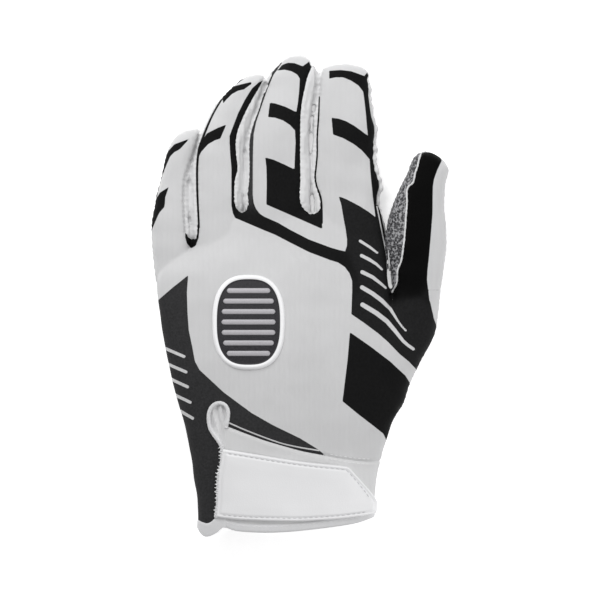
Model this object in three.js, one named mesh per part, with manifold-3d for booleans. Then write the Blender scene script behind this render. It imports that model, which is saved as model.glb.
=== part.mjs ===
// A left-hand football receiver glove, lying on its palm with the back of the hand up.
// Millimetres, +Z up, fingers along +Y, thumb towards +X. The origin is on the flat of the palm.
// The glove is one hollow shell of a hand, four fingers and a thumb, cut into its sewn pieces.

import * as THREE from 'three';
import { mergeVertices } from 'three/addons/utils/BufferGeometryUtils.js';
import Module from 'manifold-3d';

const wasm = await Module();
wasm.setup();

// The hand, from the wrist hem to the finger crotches.
const HAND_LENGTH = 164;
const HAND_WIDTH = 118;
const HAND_HEIGHT = 28;
const ORIGIN_ALONG = 0.75;

// Cloth walls, the gap between sewn pieces, and how deep a round section is pressed flat where it rests.
const WALL = 1.6;
const GAP = 0.3;
const REST_SINK = 1.6;
const ROUNDNESS = 2.4;

// Seams, bindings and the pieces laid on the back of the hand.
const SEAM_HEIGHT = 6.5;
const FOURCHETTE_LOW = 2.6;
const FOURCHETTE_DROP = 2.2;
const BINDING_WIDTH = 1.4;
const BINDING_PROUD = 0.7;
const HEM_WIDTH = 4;
const HEM_PROUD = 0.4;
const GUSSET_THICKNESS = 1;
const STRAP_THICKNESS = 1.8;
const PATCH_THICKNESS = 1.2;
const PATCH_LENGTH = 47;
const PATCH_WIDTH = 36;

// Facets along and around the lofts.
const HAND_STEPS = 16;
const HAND_SIDES = 26;
const FINGER_STEPS = 8;
const FINGER_SIDES = 14;
const TIP_STEPS = 4;
const SMALLEST_FACET = 0.03;
const LARGEST_CRUMB = 1;

// Sections of the hand. along is a share of HAND_LENGTH from the hem, left and right are shares of
// HAND_WIDTH from the middle line, and height is a share of HAND_HEIGHT.
const HAND_SECTIONS = rows('along left right height', [
  [0.000, -0.428, 0.307, 0.93],
  [0.125, -0.430, 0.318, 0.92],
  [0.186, -0.444, 0.326, 0.93],
  [0.247, -0.456, 0.341, 0.96],
  [0.360, -0.486, 0.389, 1.00],
  [0.409, -0.504, 0.422, 1.00],
  [0.482, -0.533, 0.434, 1.00],
  [0.600, -0.568, 0.422, 0.96],
  [0.735, -0.598, 0.392, 0.86],
  [0.796, -0.600, 0.373, 0.79],
  [0.851, -0.557, 0.367, 0.71],
  [0.887, -0.464, 0.362, 0.63],
  [0.933, -0.413, 0.356, 0.54],
  [1.000, -0.400, 0.328, 0.44],
]);

// Fingers. rootAcross and rootAlong place the root as shares of the hand. In each section, along is a
// share of the finger's length, and shift and width are shares of its width, height of its height.
const FINGERS = {
  little: {
    rootAcross: -0.523, rootAlong: 0.765, length: 80.2, width: 19.2, height: 13, tipLength: 9, tipPower: 2.2,
    sections: rows('along shift width height', [
      [0.00, 0.00, 0.99, 1.00],
      [0.18, -0.06, 1.00, 1.00],
      [0.37, -0.13, 0.99, 1.00],
      [0.56, -0.04, 0.99, 0.98],
      [0.69, 0.05, 0.90, 0.96],
      [0.81, 0.15, 0.85, 0.92],
      [0.90, 0.26, 0.77, 0.86],
      [1.00, 0.39, 0.70, 0.80],
    ]),
  },
  ring: {
    rootAcross: -0.320, rootAlong: 0.826, length: 97.8, width: 24.6, height: 13.5, tipLength: 8.5, tipPower: 2.2,
    sections: rows('along shift width height', [
      [0.00, 0.00, 0.97, 1.00],
      [0.15, -0.05, 0.99, 1.00],
      [0.31, -0.05, 0.95, 1.00],
      [0.45, -0.03, 1.00, 1.00],
      [0.55, -0.03, 0.99, 1.00],
      [0.61, 0.00, 0.95, 0.98],
      [0.70, 0.08, 0.86, 0.95],
      [0.76, 0.15, 0.83, 0.93],
      [0.88, 0.37, 0.73, 0.88],
      [1.00, 0.69, 0.65, 0.80],
    ]),
  },
  middle: {
    rootAcross: -0.074, rootAlong: 0.851, length: 103.5, width: 31, height: 13.5, tipLength: 13, tipPower: 2.1,
    sections: rows('along shift width height', [
      [0.00, 0.00, 0.97, 1.00],
      [0.26, -0.04, 1.00, 1.00],
      [0.43, -0.03, 0.99, 0.98],
      [0.58, -0.03, 0.99, 1.00],
      [0.65, -0.01, 0.95, 0.98],
      [0.79, 0.08, 0.81, 0.92],
      [0.90, 0.17, 0.72, 0.86],
      [1.00, 0.24, 0.66, 0.80],
    ]),
  },
  index: {
    rootAcross: 0.229, rootAlong: 0.851, length: 98.9, width: 33, height: 13.5, tipLength: 7.5, tipPower: 2.7,
    sections: rows('along shift width height', [
      [0.00, 0.00, 0.95, 1.00],
      [0.27, -0.03, 0.94, 1.00],
      [0.37, -0.06, 0.99, 0.98],
      [0.48, -0.09, 0.98, 0.98],
      [0.67, -0.10, 0.90, 1.00],
      [0.84, -0.11, 0.83, 0.92],
      [0.92, -0.12, 0.78, 0.87],
      [1.00, -0.14, 0.75, 0.80],
    ]),
  },
  thumb: {
    rootAcross: 0.273, rootAlong: 0.338, length: 139, width: 30.5, height: 19, tipLength: 10, tipPower: 2.2,
    sections: rows('along shift width height', [
      [0.00, 0.00, 0.46, 0.90],
      [0.08, 0.14, 0.90, 1.10],
      [0.17, 0.22, 1.06, 1.18],
      [0.25, 0.37, 1.12, 1.18],
      [0.33, 0.57, 1.11, 1.12],
      [0.39, 0.71, 0.95, 1.05],
      [0.47, 0.83, 0.78, 1.00],
      [0.51, 0.85, 0.78, 0.97],
      [0.61, 0.86, 0.91, 0.93],
      [0.70, 0.86, 0.99, 0.92],
      [0.82, 0.91, 0.79, 0.86],
      [0.88, 0.96, 0.72, 0.82],
      [0.94, 1.05, 0.62, 0.76],
      [1.00, 1.08, 0.56, 0.70],
    ]),
  },
};

// Fourchettes between two fingers. crotch is a share of HAND_LENGTH. reach is how far each strip
// comes up over the side of the finger on its left and on its right, in mm.
const FOURCHETTES = rows('left right crotch leftReach rightReach', [
  ['little', 'ring', 0.893, 2.6, 1.4],
  ['ring', 'middle', 1.000, 5.2, 1.4],
  ['middle', 'index', 1.000, 4.6, 1.4],
]);
const FOURCHETTE_TOP = 0.93;
const FOURCHETTE_ROWS = 7;

// Edge of the silver grip on the thumb: across is a share of the thumb's width from its inner side.
const GRIP_EDGE = rows('along across', [
  [0.50, 0.05],
  [0.55, 0.11],
  [0.61, 0.21],
  [0.69, 0.29],
  [0.77, 0.28],
  [0.82, 0.24],
  [0.90, 0.20],
  [0.96, 0.17],
  [1.02, 0.17],
]);

// Lines on the plan of the hand: across and along are shares of HAND_WIDTH and HAND_LENGTH.
const HEM_LINE = rows('across along', [
  [-0.500, 0.070],
  [-0.432, 0.046],
  [-0.414, 0.024],
  [-0.392, 0.018],
  [-0.365, 0.024],
  [-0.335, 0.043],
  [-0.310, 0.044],
  [-0.206, 0.031],
  [-0.080, 0.031],
  [0.057, 0.038],
  [0.237, 0.058],
  [0.400, 0.098],
]);
const CUFF_SEAM = rows('across along', [
  [-0.600, 0.380],
  [-0.302, 0.351],
  [-0.167, 0.316],
  [0.002, 0.279],
  [0.112, 0.263],
  [0.272, 0.246],
  [0.500, 0.246],
]);
const SLIT_EDGE = rows('across along', [
  [-0.306, 0.351],
  [-0.297, 0.375],
  [-0.296, 0.400],
  [-0.312, 0.420],
  [-0.339, 0.427],
  [-0.370, 0.416],
  [-0.386, 0.388],
  [-0.382, 0.352],
  [-0.366, 0.328],
  [-0.344, 0.305],
  [-0.330, 0.284],
  [-0.330, 0.238],
  [-0.343, 0.200],
  [-0.346, 0.110],
  [-0.352, 0.085],
  [-0.326, 0.060],
]);
const FLAP_CAP = rows('across along', [
  [-0.480, 0.068],
  [-0.425, 0.066],
  [-0.388, 0.060],
  [-0.360, 0.075],
  [-0.340, 0.060],
  [-0.326, 0.050],
]);

// The strap, from its sewn end at the flap to its chamfered free end.
const STRAP_SECTIONS = rows('across top bottom', [
  [-0.316, 0.284, 0.077],
  [-0.173, 0.267, 0.068],
  [0.010, 0.245, 0.066],
  [0.118, 0.238, 0.070],
  [0.178, 0.233, 0.073],
  [0.225, 0.212, 0.078],
  [0.260, 0.185, 0.081],
  [0.292, 0.155, 0.085],
  [0.308, 0.138, 0.088],
]);

// Centre of the patch on the back of the hand.
const PATCH_ACROSS = -0.214;
const PATCH_ALONG = 0.668;
const PATCH_POWER = 2.6;
const PATCH_SIDES = 32;

// Turns a list of rows into objects with the given column names.
function rows(columns, table) {
  const names = columns.split(' ');
  return table.map((row) => Object.fromEntries(names.map((name, i) => [name, row[i]])));
}

// A smooth curve through one column of a table, read at the share `at` of its first column.
function read(table, column, at) {
  const key = Object.keys(table[0])[0];
  const last = table.length - 1;
  let i = 0;
  while (i < last - 1 && at > table[i + 1][key]) i++;
  const span = table[i + 1][key] - table[i][key];
  const slope = (j) => {
    const before = table[Math.max(j - 1, 0)];
    const after = table[Math.min(j + 1, last)];
    return (after[column] - before[column]) / (after[key] - before[key]);
  };
  const t = THREE.MathUtils.clamp((at - table[i][key]) / span, 0, 1);
  const rise = table[i + 1][column] - table[i][column];
  const a = slope(i) * span - rise;
  const b = rise - slope(i + 1) * span;
  return table[i][column] + t * rise + t * (1 - t) * (a * (1 - t) + b * t);
}

const handBottom = -ORIGIN_ALONG * HAND_LENGTH;
const alongHand = (share) => handBottom + share * HAND_LENGTH;
const onPlan = ({ across, along }) => new THREE.Vector2(across * HAND_WIDTH, alongHand(along));

// The hand and the fingers as limbs: each gives its outer left and right side and top at a height y.
const hand = {
  bottom: handBottom,
  length: HAND_LENGTH,
  tipLength: 0,
  tipPower: 2,
  steps: HAND_STEPS,
  sides: HAND_SIDES,
  at(y) {
    const along = (y - handBottom) / HAND_LENGTH;
    return {
      left: read(HAND_SECTIONS, 'left', along) * HAND_WIDTH,
      right: read(HAND_SECTIONS, 'right', along) * HAND_WIDTH,
      top: read(HAND_SECTIONS, 'height', along) * HAND_HEIGHT,
    };
  },
};

function finger(size) {
  const bottom = alongHand(size.rootAlong);
  return {
    ...size,
    bottom,
    steps: FINGER_STEPS,
    sides: FINGER_SIDES,
    at(y) {
      const along = (y - bottom) / size.length;
      const centre = size.rootAcross * HAND_WIDTH + read(size.sections, 'shift', along) * size.width;
      const half = (read(size.sections, 'width', along) * size.width) / 2;
      return { left: centre - half, right: centre + half, top: read(size.sections, 'height', along) * size.height };
    },
  };
}

const fingers = Object.fromEntries(Object.entries(FINGERS).map(([name, size]) => [name, finger(size)]));
const limbs = [hand, ...Object.values(fingers)];

// A closed mesh with shared corners, as a solid.
function solidOf(geometry) {
  geometry.deleteAttribute('normal');
  geometry.deleteAttribute('uv');
  const merged = mergeVertices(geometry, 1e-5);
  return new wasm.Manifold(new wasm.Mesh({
    numProp: 3,
    vertProperties: new Float32Array(merged.attributes.position.array),
    triVerts: new Uint32Array(merged.index.array),
  }));
}

// A closed tube through rings of points, each ring with the same number of points.
function loft(rings) {
  const count = rings[0].length;
  const positions = [];
  const index = [];
  for (const ring of rings) {
    for (const point of ring) positions.push(point.x, point.y, point.z);
  }
  for (let r = 0; r < rings.length - 1; r++) {
    for (let i = 0; i < count; i++) {
      const next = (i + 1) % count;
      const a = r * count + i;
      const b = r * count + next;
      const c = (r + 1) * count + i;
      const d = (r + 1) * count + next;
      index.push(a, c, b, b, c, d);
    }
  }
  [0, rings.length - 1].forEach((r) => {
    const centre = rings[r].reduce((sum, point) => sum.add(point), new THREE.Vector3()).divideScalar(count);
    const middle = positions.length / 3;
    positions.push(centre.x, centre.y, centre.z);
    for (let i = 0; i < count; i++) {
      const a = r * count + i;
      const b = r * count + ((i + 1) % count);
      index.push(middle, ...(r === 0 ? [a, b] : [b, a]));
    }
  });
  const geometry = new THREE.BufferGeometry();
  geometry.setAttribute('position', new THREE.Float32BufferAttribute(positions, 3));
  geometry.setIndex(index);
  return solidOf(geometry);
}

// The solid of one limb, its surface moved inwards by `inset`. `overrun` carries an open end past the hem.
function limbSolid(limb, inset, overrun = 0) {
  const start = limb.bottom - overrun;
  const shoulder = limb.bottom + limb.length - Math.max(limb.tipLength, inset);
  const tip = Math.max(limb.tipLength, inset) - inset;
  const levels = [];
  for (let i = 0; i <= limb.steps; i++) {
    levels.push({ y: start + ((shoulder - start) * i) / limb.steps, close: 1 });
  }
  if (limb.tipLength > 0) {
    for (let i = 1; i <= TIP_STEPS; i++) {
      const angle = (0.97 * Math.PI * i) / (2 * TIP_STEPS);
      levels.push({
        y: shoulder + tip * Math.sin(angle) ** (2 / limb.tipPower),
        close: Math.cos(angle) ** (2 / limb.tipPower),
      });
    }
  }
  return loft(levels.map(({ y, close }) => {
    const { left, right, top } = limb.at(y);
    const halfWidth = ((right - left) / 2 - inset) * close;
    const halfHeight = ((top + REST_SINK) / 2 - inset) * close;
    return Array.from({ length: limb.sides }, (_, i) => {
      const angle = (2 * Math.PI * (i + 0.5)) / limb.sides;
      const cos = Math.cos(angle);
      const sin = Math.sin(angle);
      return new THREE.Vector3(
        (left + right) / 2 + halfWidth * Math.sign(cos) * Math.abs(cos) ** (2 / ROUNDNESS),
        y,
        (top - REST_SINK) / 2 + halfHeight * Math.sign(sin) * Math.abs(sin) ** (2 / ROUNDNESS),
      );
    });
  }));
}

const FAR = 400;

// An upright block with the given outline on the plan.
function prism(outline, low = -FAR, high = FAR) {
  const geometry = new THREE.ExtrudeGeometry(new THREE.Shape(outline), { depth: high - low, bevelEnabled: false });
  geometry.translate(0, 0, low);
  return solidOf(geometry);
}

// Moves an outline outwards by a distance. The outline runs anticlockwise.
function outset(outline, distance) {
  const count = outline.length;
  return outline.map((point, i) => {
    const before = point.clone().sub(outline[(i + count - 1) % count]).normalize();
    const after = outline[(i + 1) % count].clone().sub(point).normalize();
    const normal = new THREE.Vector2(before.y + after.y, -before.x - after.x).normalize();
    const stretch = Math.max(normal.dot(new THREE.Vector2(before.y, -before.x)), 0.5);
    return point.clone().addScaledVector(normal, distance / stretch);
  });
}

// A smooth open line through plan points.
function smoothLine(points, pieces) {
  return new THREE.SplineCurve(points).getPoints(pieces);
}

const slab = (low, high) => prism([
  new THREE.Vector2(-FAR, -FAR),
  new THREE.Vector2(FAR, -FAR),
  new THREE.Vector2(FAR, FAR),
  new THREE.Vector2(-FAR, FAR),
], low, high);

const above = (z) => slab(z, FAR);

function union(solids) {
  return solids.reduce((sum, solid) => sum.add(solid));
}

// A layer that follows the back of the hand, from `low` to `high` mm above its surface.
function handLayer(low, high) {
  return limbSolid(hand, -high).subtract(limbSolid(hand, -low, 1)).intersect(above(SEAM_HEIGHT + GAP));
}

// The hollow glove: the outer forms less the same forms one wall further in, pressed flat where it rests.
const hemLine = smoothLine(HEM_LINE.map(onPlan), 26);
const belowHem = prism([
  new THREE.Vector2(-FAR, -FAR),
  new THREE.Vector2(FAR, -FAR),
  ...hemLine.slice().reverse(),
]);
const outer = union(limbs.map((limb) => limbSolid(limb, 0))).intersect(above(0)).subtract(belowHem);
const inner = union(limbs.map((limb) => limbSolid(limb, WALL, limb === hand ? WALL : 0))).intersect(above(WALL));
const shell = outer.subtract(inner);

// Outline of one side strip of a finger: from `reach` inside its edge to the middle of the gap beside it.
function stripOutline(own, other, side, crotch, reach, grow) {
  const bottom = crotch - FOURCHETTE_DROP - grow;
  const top = own.bottom + own.length * FOURCHETTE_TOP + grow;
  const sign = side === 'right' ? 1 : -1;
  const far = [];
  const near = [];
  for (let i = 0; i <= FOURCHETTE_ROWS; i++) {
    const y = bottom + ((top - bottom) * i) / FOURCHETTE_ROWS;
    const edge = own.at(y)[side];
    const facing = other.at(Math.min(y, other.bottom + other.length))[side === 'right' ? 'left' : 'right'];
    const middle = sign * Math.max(sign * edge, sign * (edge + facing) / 2) + sign * 0.05;
    far.push(new THREE.Vector2(middle, y));
    near.push(new THREE.Vector2(edge - sign * (reach + grow), y));
  }
  const outline = [...far, ...near.reverse()];
  return side === 'right' ? outline : outline.reverse();
}

// The block that holds one fourchette, grown sideways and down by `grow`.
function fourchetteBlock({ left, right, crotch, leftReach, rightReach }, grow) {
  const level = alongHand(crotch);
  const low = level - FOURCHETTE_DROP - grow;
  const saddle = [low, level].map((y) => ({
    y,
    from: fingers[left].at(y).right - leftReach - grow,
    to: fingers[right].at(y).left + rightReach + grow,
  }));
  return union([
    prism(stripOutline(fingers[left], fingers[right], 'right', level, leftReach, grow)),
    prism(stripOutline(fingers[right], fingers[left], 'left', level, rightReach, grow)),
    prism([
      new THREE.Vector2(saddle[0].from, saddle[0].y),
      new THREE.Vector2(saddle[0].to, saddle[0].y),
      new THREE.Vector2(saddle[1].to, saddle[1].y),
      new THREE.Vector2(saddle[1].from, saddle[1].y),
    ]),
  ]).intersect(above(FOURCHETTE_LOW - grow));
}

// The block that holds the silver grip on the inner side of the thumb.
function gripBlock(grow) {
  const { thumb } = fingers;
  const edge = GRIP_EDGE.map(({ along, across }) => {
    const y = thumb.bottom + along * thumb.length;
    const { left, right } = thumb.at(y);
    return new THREE.Vector2(left + across * (right - left) + grow, y);
  });
  const outside = GRIP_EDGE.map(({ along }) => {
    const y = thumb.bottom + along * thumb.length;
    const { left } = thumb.at(y);
    const beside = y < fingers.index.bottom + fingers.index.length ? fingers.index.at(y).right : left - 1;
    return new THREE.Vector2(Math.max((left + Math.min(beside, left)) / 2, left - 1), y);
  });
  edge[0].y -= grow;
  outside[0].y -= grow;
  return prism([...edge, ...outside.reverse()]);
}

// The slit through the back of the wrist: a teardrop that narrows into a slot down to the hem.
const slitEdge = smoothLine(SLIT_EDGE.map(onPlan), 34);
const slitOutline = [
  ...slitEdge,
  onPlan({ across: -0.332, along: 0 }),
  onPlan({ across: -0.302, along: 0 }),
];
const slit = prism(slitOutline, SEAM_HEIGHT);
const flapCapOutline = [
  ...smoothLine(FLAP_CAP.map(onPlan), 10).reverse(),
  onPlan({ across: -0.480, along: -0.1 }),
  onPlan({ across: -0.326, along: -0.1 }),
];
const flapCap = prism(flapCapOutline, SEAM_HEIGHT + GAP / 2);
const flapCapCut = prism(outset(flapCapOutline, GAP), SEAM_HEIGHT);
const slitRim = prism(outset(slitOutline, BINDING_WIDTH), SEAM_HEIGHT);
const slitCut = prism(outset(slitOutline, BINDING_WIDTH + GAP), SEAM_HEIGHT);

// The cuff below its seam, with everything under the side seam, and the hem band at the mouth.
function cuffBlock(grow) {
  const seam = smoothLine(CUFF_SEAM.map(onPlan), 20).map((point) => new THREE.Vector2(point.x, point.y + grow));
  const corners = [
    new THREE.Vector2(-FAR, seam[0].y),
    new THREE.Vector2(-FAR, -FAR),
    new THREE.Vector2(FAR, -FAR),
    new THREE.Vector2(FAR, seam[seam.length - 1].y),
  ];
  const whole = prism([...corners, ...seam.slice().reverse()]);
  const edge = onPlan({ across: -0.317, along: 0 }).x - grow;
  const flapSide = prism([
    new THREE.Vector2(-FAR, -FAR),
    new THREE.Vector2(edge, -FAR),
    new THREE.Vector2(edge, FAR),
    new THREE.Vector2(-FAR, FAR),
  ], SEAM_HEIGHT - GAP / 2 + grow);
  return whole.subtract(flapSide);
}

function hemBlock(grow) {
  const top = hemLine.map((point) => new THREE.Vector2(point.x, point.y + HEM_WIDTH + grow));
  return cuffBlock(grow).intersect(prism([
    new THREE.Vector2(-FAR, -FAR),
    new THREE.Vector2(FAR, -FAR),
    ...top.reverse(),
  ]));
}

const backHalf = above(SEAM_HEIGHT + GAP / 2);
const palmHalf = slab(-FAR, SEAM_HEIGHT - GAP / 2);
const fourchetteCuts = union(FOURCHETTES.map((row) => fourchetteBlock(row, GAP)));
const gripCut = gripBlock(GAP);
const wholeHand = (inset) => limbSolid(hand, inset, 1);

function backPanel() {
  return shell
    .intersect(backHalf)
    .subtract(fourchetteCuts)
    .subtract(gripCut)
    .subtract(cuffBlock(GAP))
    .subtract(slitCut)
    .subtract(flapCapCut);
}

function palmPanel() {
  return shell.intersect(palmHalf).subtract(fourchetteCuts).subtract(gripCut).subtract(cuffBlock(GAP));
}

function cuffBand() {
  return shell.intersect(cuffBlock(0)).subtract(slitCut).subtract(hemBlock(GAP));
}

function hemBinding() {
  return wholeHand(-HEM_PROUD)
    .intersect(above(0))
    .subtract(wholeHand(WALL).intersect(above(WALL)))
    .intersect(hemBlock(0))
    .subtract(belowHem)
    .subtract(slitCut);
}

function slitBinding() {
  const wall = wholeHand(-BINDING_PROUD).subtract(wholeHand(WALL)).intersect(above(SEAM_HEIGHT + GAP / 2));
  const rim = slitRim.add(flapCap).subtract(slit);
  return wall.intersect(rim).subtract(belowHem);
}

function slitGusset() {
  const outline = outset(slitOutline, BINDING_WIDTH);
  return handLayer(-(WALL + GAP + GUSSET_THICKNESS), -(WALL + GAP))
    .intersect(prism(outline, SEAM_HEIGHT))
    .subtract(belowHem);
}

function wristStrap() {
  const top = smoothLine(STRAP_SECTIONS.map(({ across, top: along }) => onPlan({ across, along })), 20);
  const bottom = smoothLine(STRAP_SECTIONS.map(({ across, bottom: along }) => onPlan({ across, along })), 20);
  const low = BINDING_PROUD + GAP;
  return handLayer(low, low + STRAP_THICKNESS).intersect(prism([...bottom, ...top.reverse()]));
}

function backPatch() {
  const centre = onPlan({ across: PATCH_ACROSS, along: PATCH_ALONG });
  const outline = Array.from({ length: PATCH_SIDES }, (_, i) => {
    const angle = (2 * Math.PI * i) / PATCH_SIDES;
    const cos = Math.cos(angle);
    const sin = Math.sin(angle);
    return new THREE.Vector2(
      centre.x + (PATCH_WIDTH / 2) * Math.sign(cos) * Math.abs(cos) ** (2 / PATCH_POWER),
      centre.y + (PATCH_LENGTH / 2) * Math.sign(sin) * Math.abs(sin) ** (2 / PATCH_POWER),
    );
  });
  return handLayer(GAP, GAP + PATCH_THICKNESS).intersect(prism(outline));
}

const materials = {
  printedKnit: { color: 0xd9d9d9, roughness: 0.85, metalness: 0 },
  grip: { color: 0x8f9092, roughness: 0.45, metalness: 0.1 },
  whiteKnit: { color: 0xe4e4e4, roughness: 0.9, metalness: 0 },
  binding: { color: 0xf0f0f0, roughness: 0.8, metalness: 0 },
  strap: { color: 0xe8e8e8, roughness: 0.6, metalness: 0 },
  patch: { color: 0x2b2c2e, roughness: 0.5, metalness: 0 },
};

// One named mesh from a solid, without the slivers and crumbs that cutting leaves.
function piece(name, solid, material) {
  const bodies = solid.simplify(SMALLEST_FACET).decompose().filter((body) => body.volume() > LARGEST_CRUMB);
  const { vertProperties, triVerts, numProp } = union(bodies).getMesh();
  const positions = new Float32Array((vertProperties.length / numProp) * 3);
  for (let i = 0; i < positions.length; i++) {
    positions[i] = vertProperties[Math.floor(i / 3) * numProp + (i % 3)];
  }
  const geometry = new THREE.BufferGeometry();
  geometry.setAttribute('position', new THREE.Float32BufferAttribute(positions, 3));
  geometry.setIndex(Array.from(triVerts));
  geometry.computeVertexNormals();
  const mesh = new THREE.Mesh(geometry, new THREE.MeshStandardMaterial(materials[material]));
  mesh.name = name;
  return mesh;
}

const glove = new THREE.Group();
glove.name = 'receiver_glove';
glove.add(
  piece('back_panel', backPanel(), 'printedKnit'),
  piece('palm_panel', palmPanel(), 'grip'),
  piece('thumb_grip', shell.intersect(gripBlock(0)), 'grip'),
  ...FOURCHETTES.map((row) => piece(
    `fourchette_${row.left}_${row.right}`,
    shell.intersect(fourchetteBlock(row, 0)),
    'whiteKnit',
  )),
  piece('cuff_band', cuffBand(), 'whiteKnit'),
  piece('hem_binding', hemBinding(), 'binding'),
  piece('slit_binding', slitBinding(), 'binding'),
  piece('slit_gusset', slitGusset(), 'whiteKnit'),
  piece('wrist_strap', wristStrap(), 'strap'),
  piece('back_patch', backPatch(), 'patch'),
);

export default glove;
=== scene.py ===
"""A left-hand football receiver glove lying on its palm, seen on the back of the hand.

Tables named _PX are in pixels of the 600 by 600 photograph, all other lengths in millimetres.
The skin is made once, as one smooth hollow form, and is then cut into its sewn panels.
"""

import math

import bpy
import numpy as np
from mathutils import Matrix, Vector
from mathutils.bvhtree import BVHTree


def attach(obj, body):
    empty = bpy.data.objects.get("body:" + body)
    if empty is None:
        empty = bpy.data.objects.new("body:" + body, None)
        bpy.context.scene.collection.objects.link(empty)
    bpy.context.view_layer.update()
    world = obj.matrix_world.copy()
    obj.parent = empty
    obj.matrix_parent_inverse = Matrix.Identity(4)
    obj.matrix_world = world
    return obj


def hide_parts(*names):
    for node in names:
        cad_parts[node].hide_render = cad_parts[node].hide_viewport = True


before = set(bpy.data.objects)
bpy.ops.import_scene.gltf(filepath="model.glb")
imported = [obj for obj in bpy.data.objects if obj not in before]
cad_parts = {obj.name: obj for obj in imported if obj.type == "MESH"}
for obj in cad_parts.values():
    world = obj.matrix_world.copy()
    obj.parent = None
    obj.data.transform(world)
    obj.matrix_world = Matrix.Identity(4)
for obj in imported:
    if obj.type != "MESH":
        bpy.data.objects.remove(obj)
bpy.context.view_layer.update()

MM = 0.001
TAU = 2 * math.pi
PIXELS_PER_MM = 2.0
PHOTO_ORIGIN = (299.5, 295.0)
PHOTO_CENTRE = (300.0, 300.0)
PHOTO_SPAN = 300.0

# Sizes of the hand and of its cloth, as in the construction.
HAND_LENGTH = 164.0
HAND_WIDTH = 118.0
HAND_HEIGHT = 28.0
ORIGIN_ALONG = 0.75
WALL = 1.5
REST_SINK = 1.6
ROUNDNESS = 2.4
SEAM_HEIGHT = 6.5
FOURCHETTE_LOW = 2.6
PALM_CUFF_ALONG = 0.25
HEM_WIDTH = 4.2
HEM_THICKNESS = 2.5
STRAP_LIFT = 0.3
STRAP_THICKNESS = 1.6
PATCH_LENGTH = 47.0
PATCH_WIDTH = 36.0
PATCH_POWER = 2.6
PATCH_CENTRE_PX = (249.0, 322.0)

# How fine the skin is made, and how much it is smoothed.
SKIN_VOXEL = 0.72
LINING_VOXEL = 1.6
SKIN_SMOOTHING = 22
LINING_SMOOTHING = 6
SMOOTHING_SHARE = 0.5
SMOOTHING_REGAIN = 1.03
LIMB_STEP = 2.0
LIMB_SIDES = 64
TIP_RINGS = 12

# How far the open end of the skin, and that of its lining, runs past the wrist before the hem is cut.
SKIN_OVERRUN = 6.0
LINING_OVERRUN = 9.0

# The length over which a finger swells out of the hand, and the height where the grip ends on its sides.
ROOT_SWELL = 16.0
GRIP_HEIGHT = 3.0

# The waves of the gathered seams beside the fourchettes.
SCALLOP = 0.22
SCALLOP_LENGTH = 2.4

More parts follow.
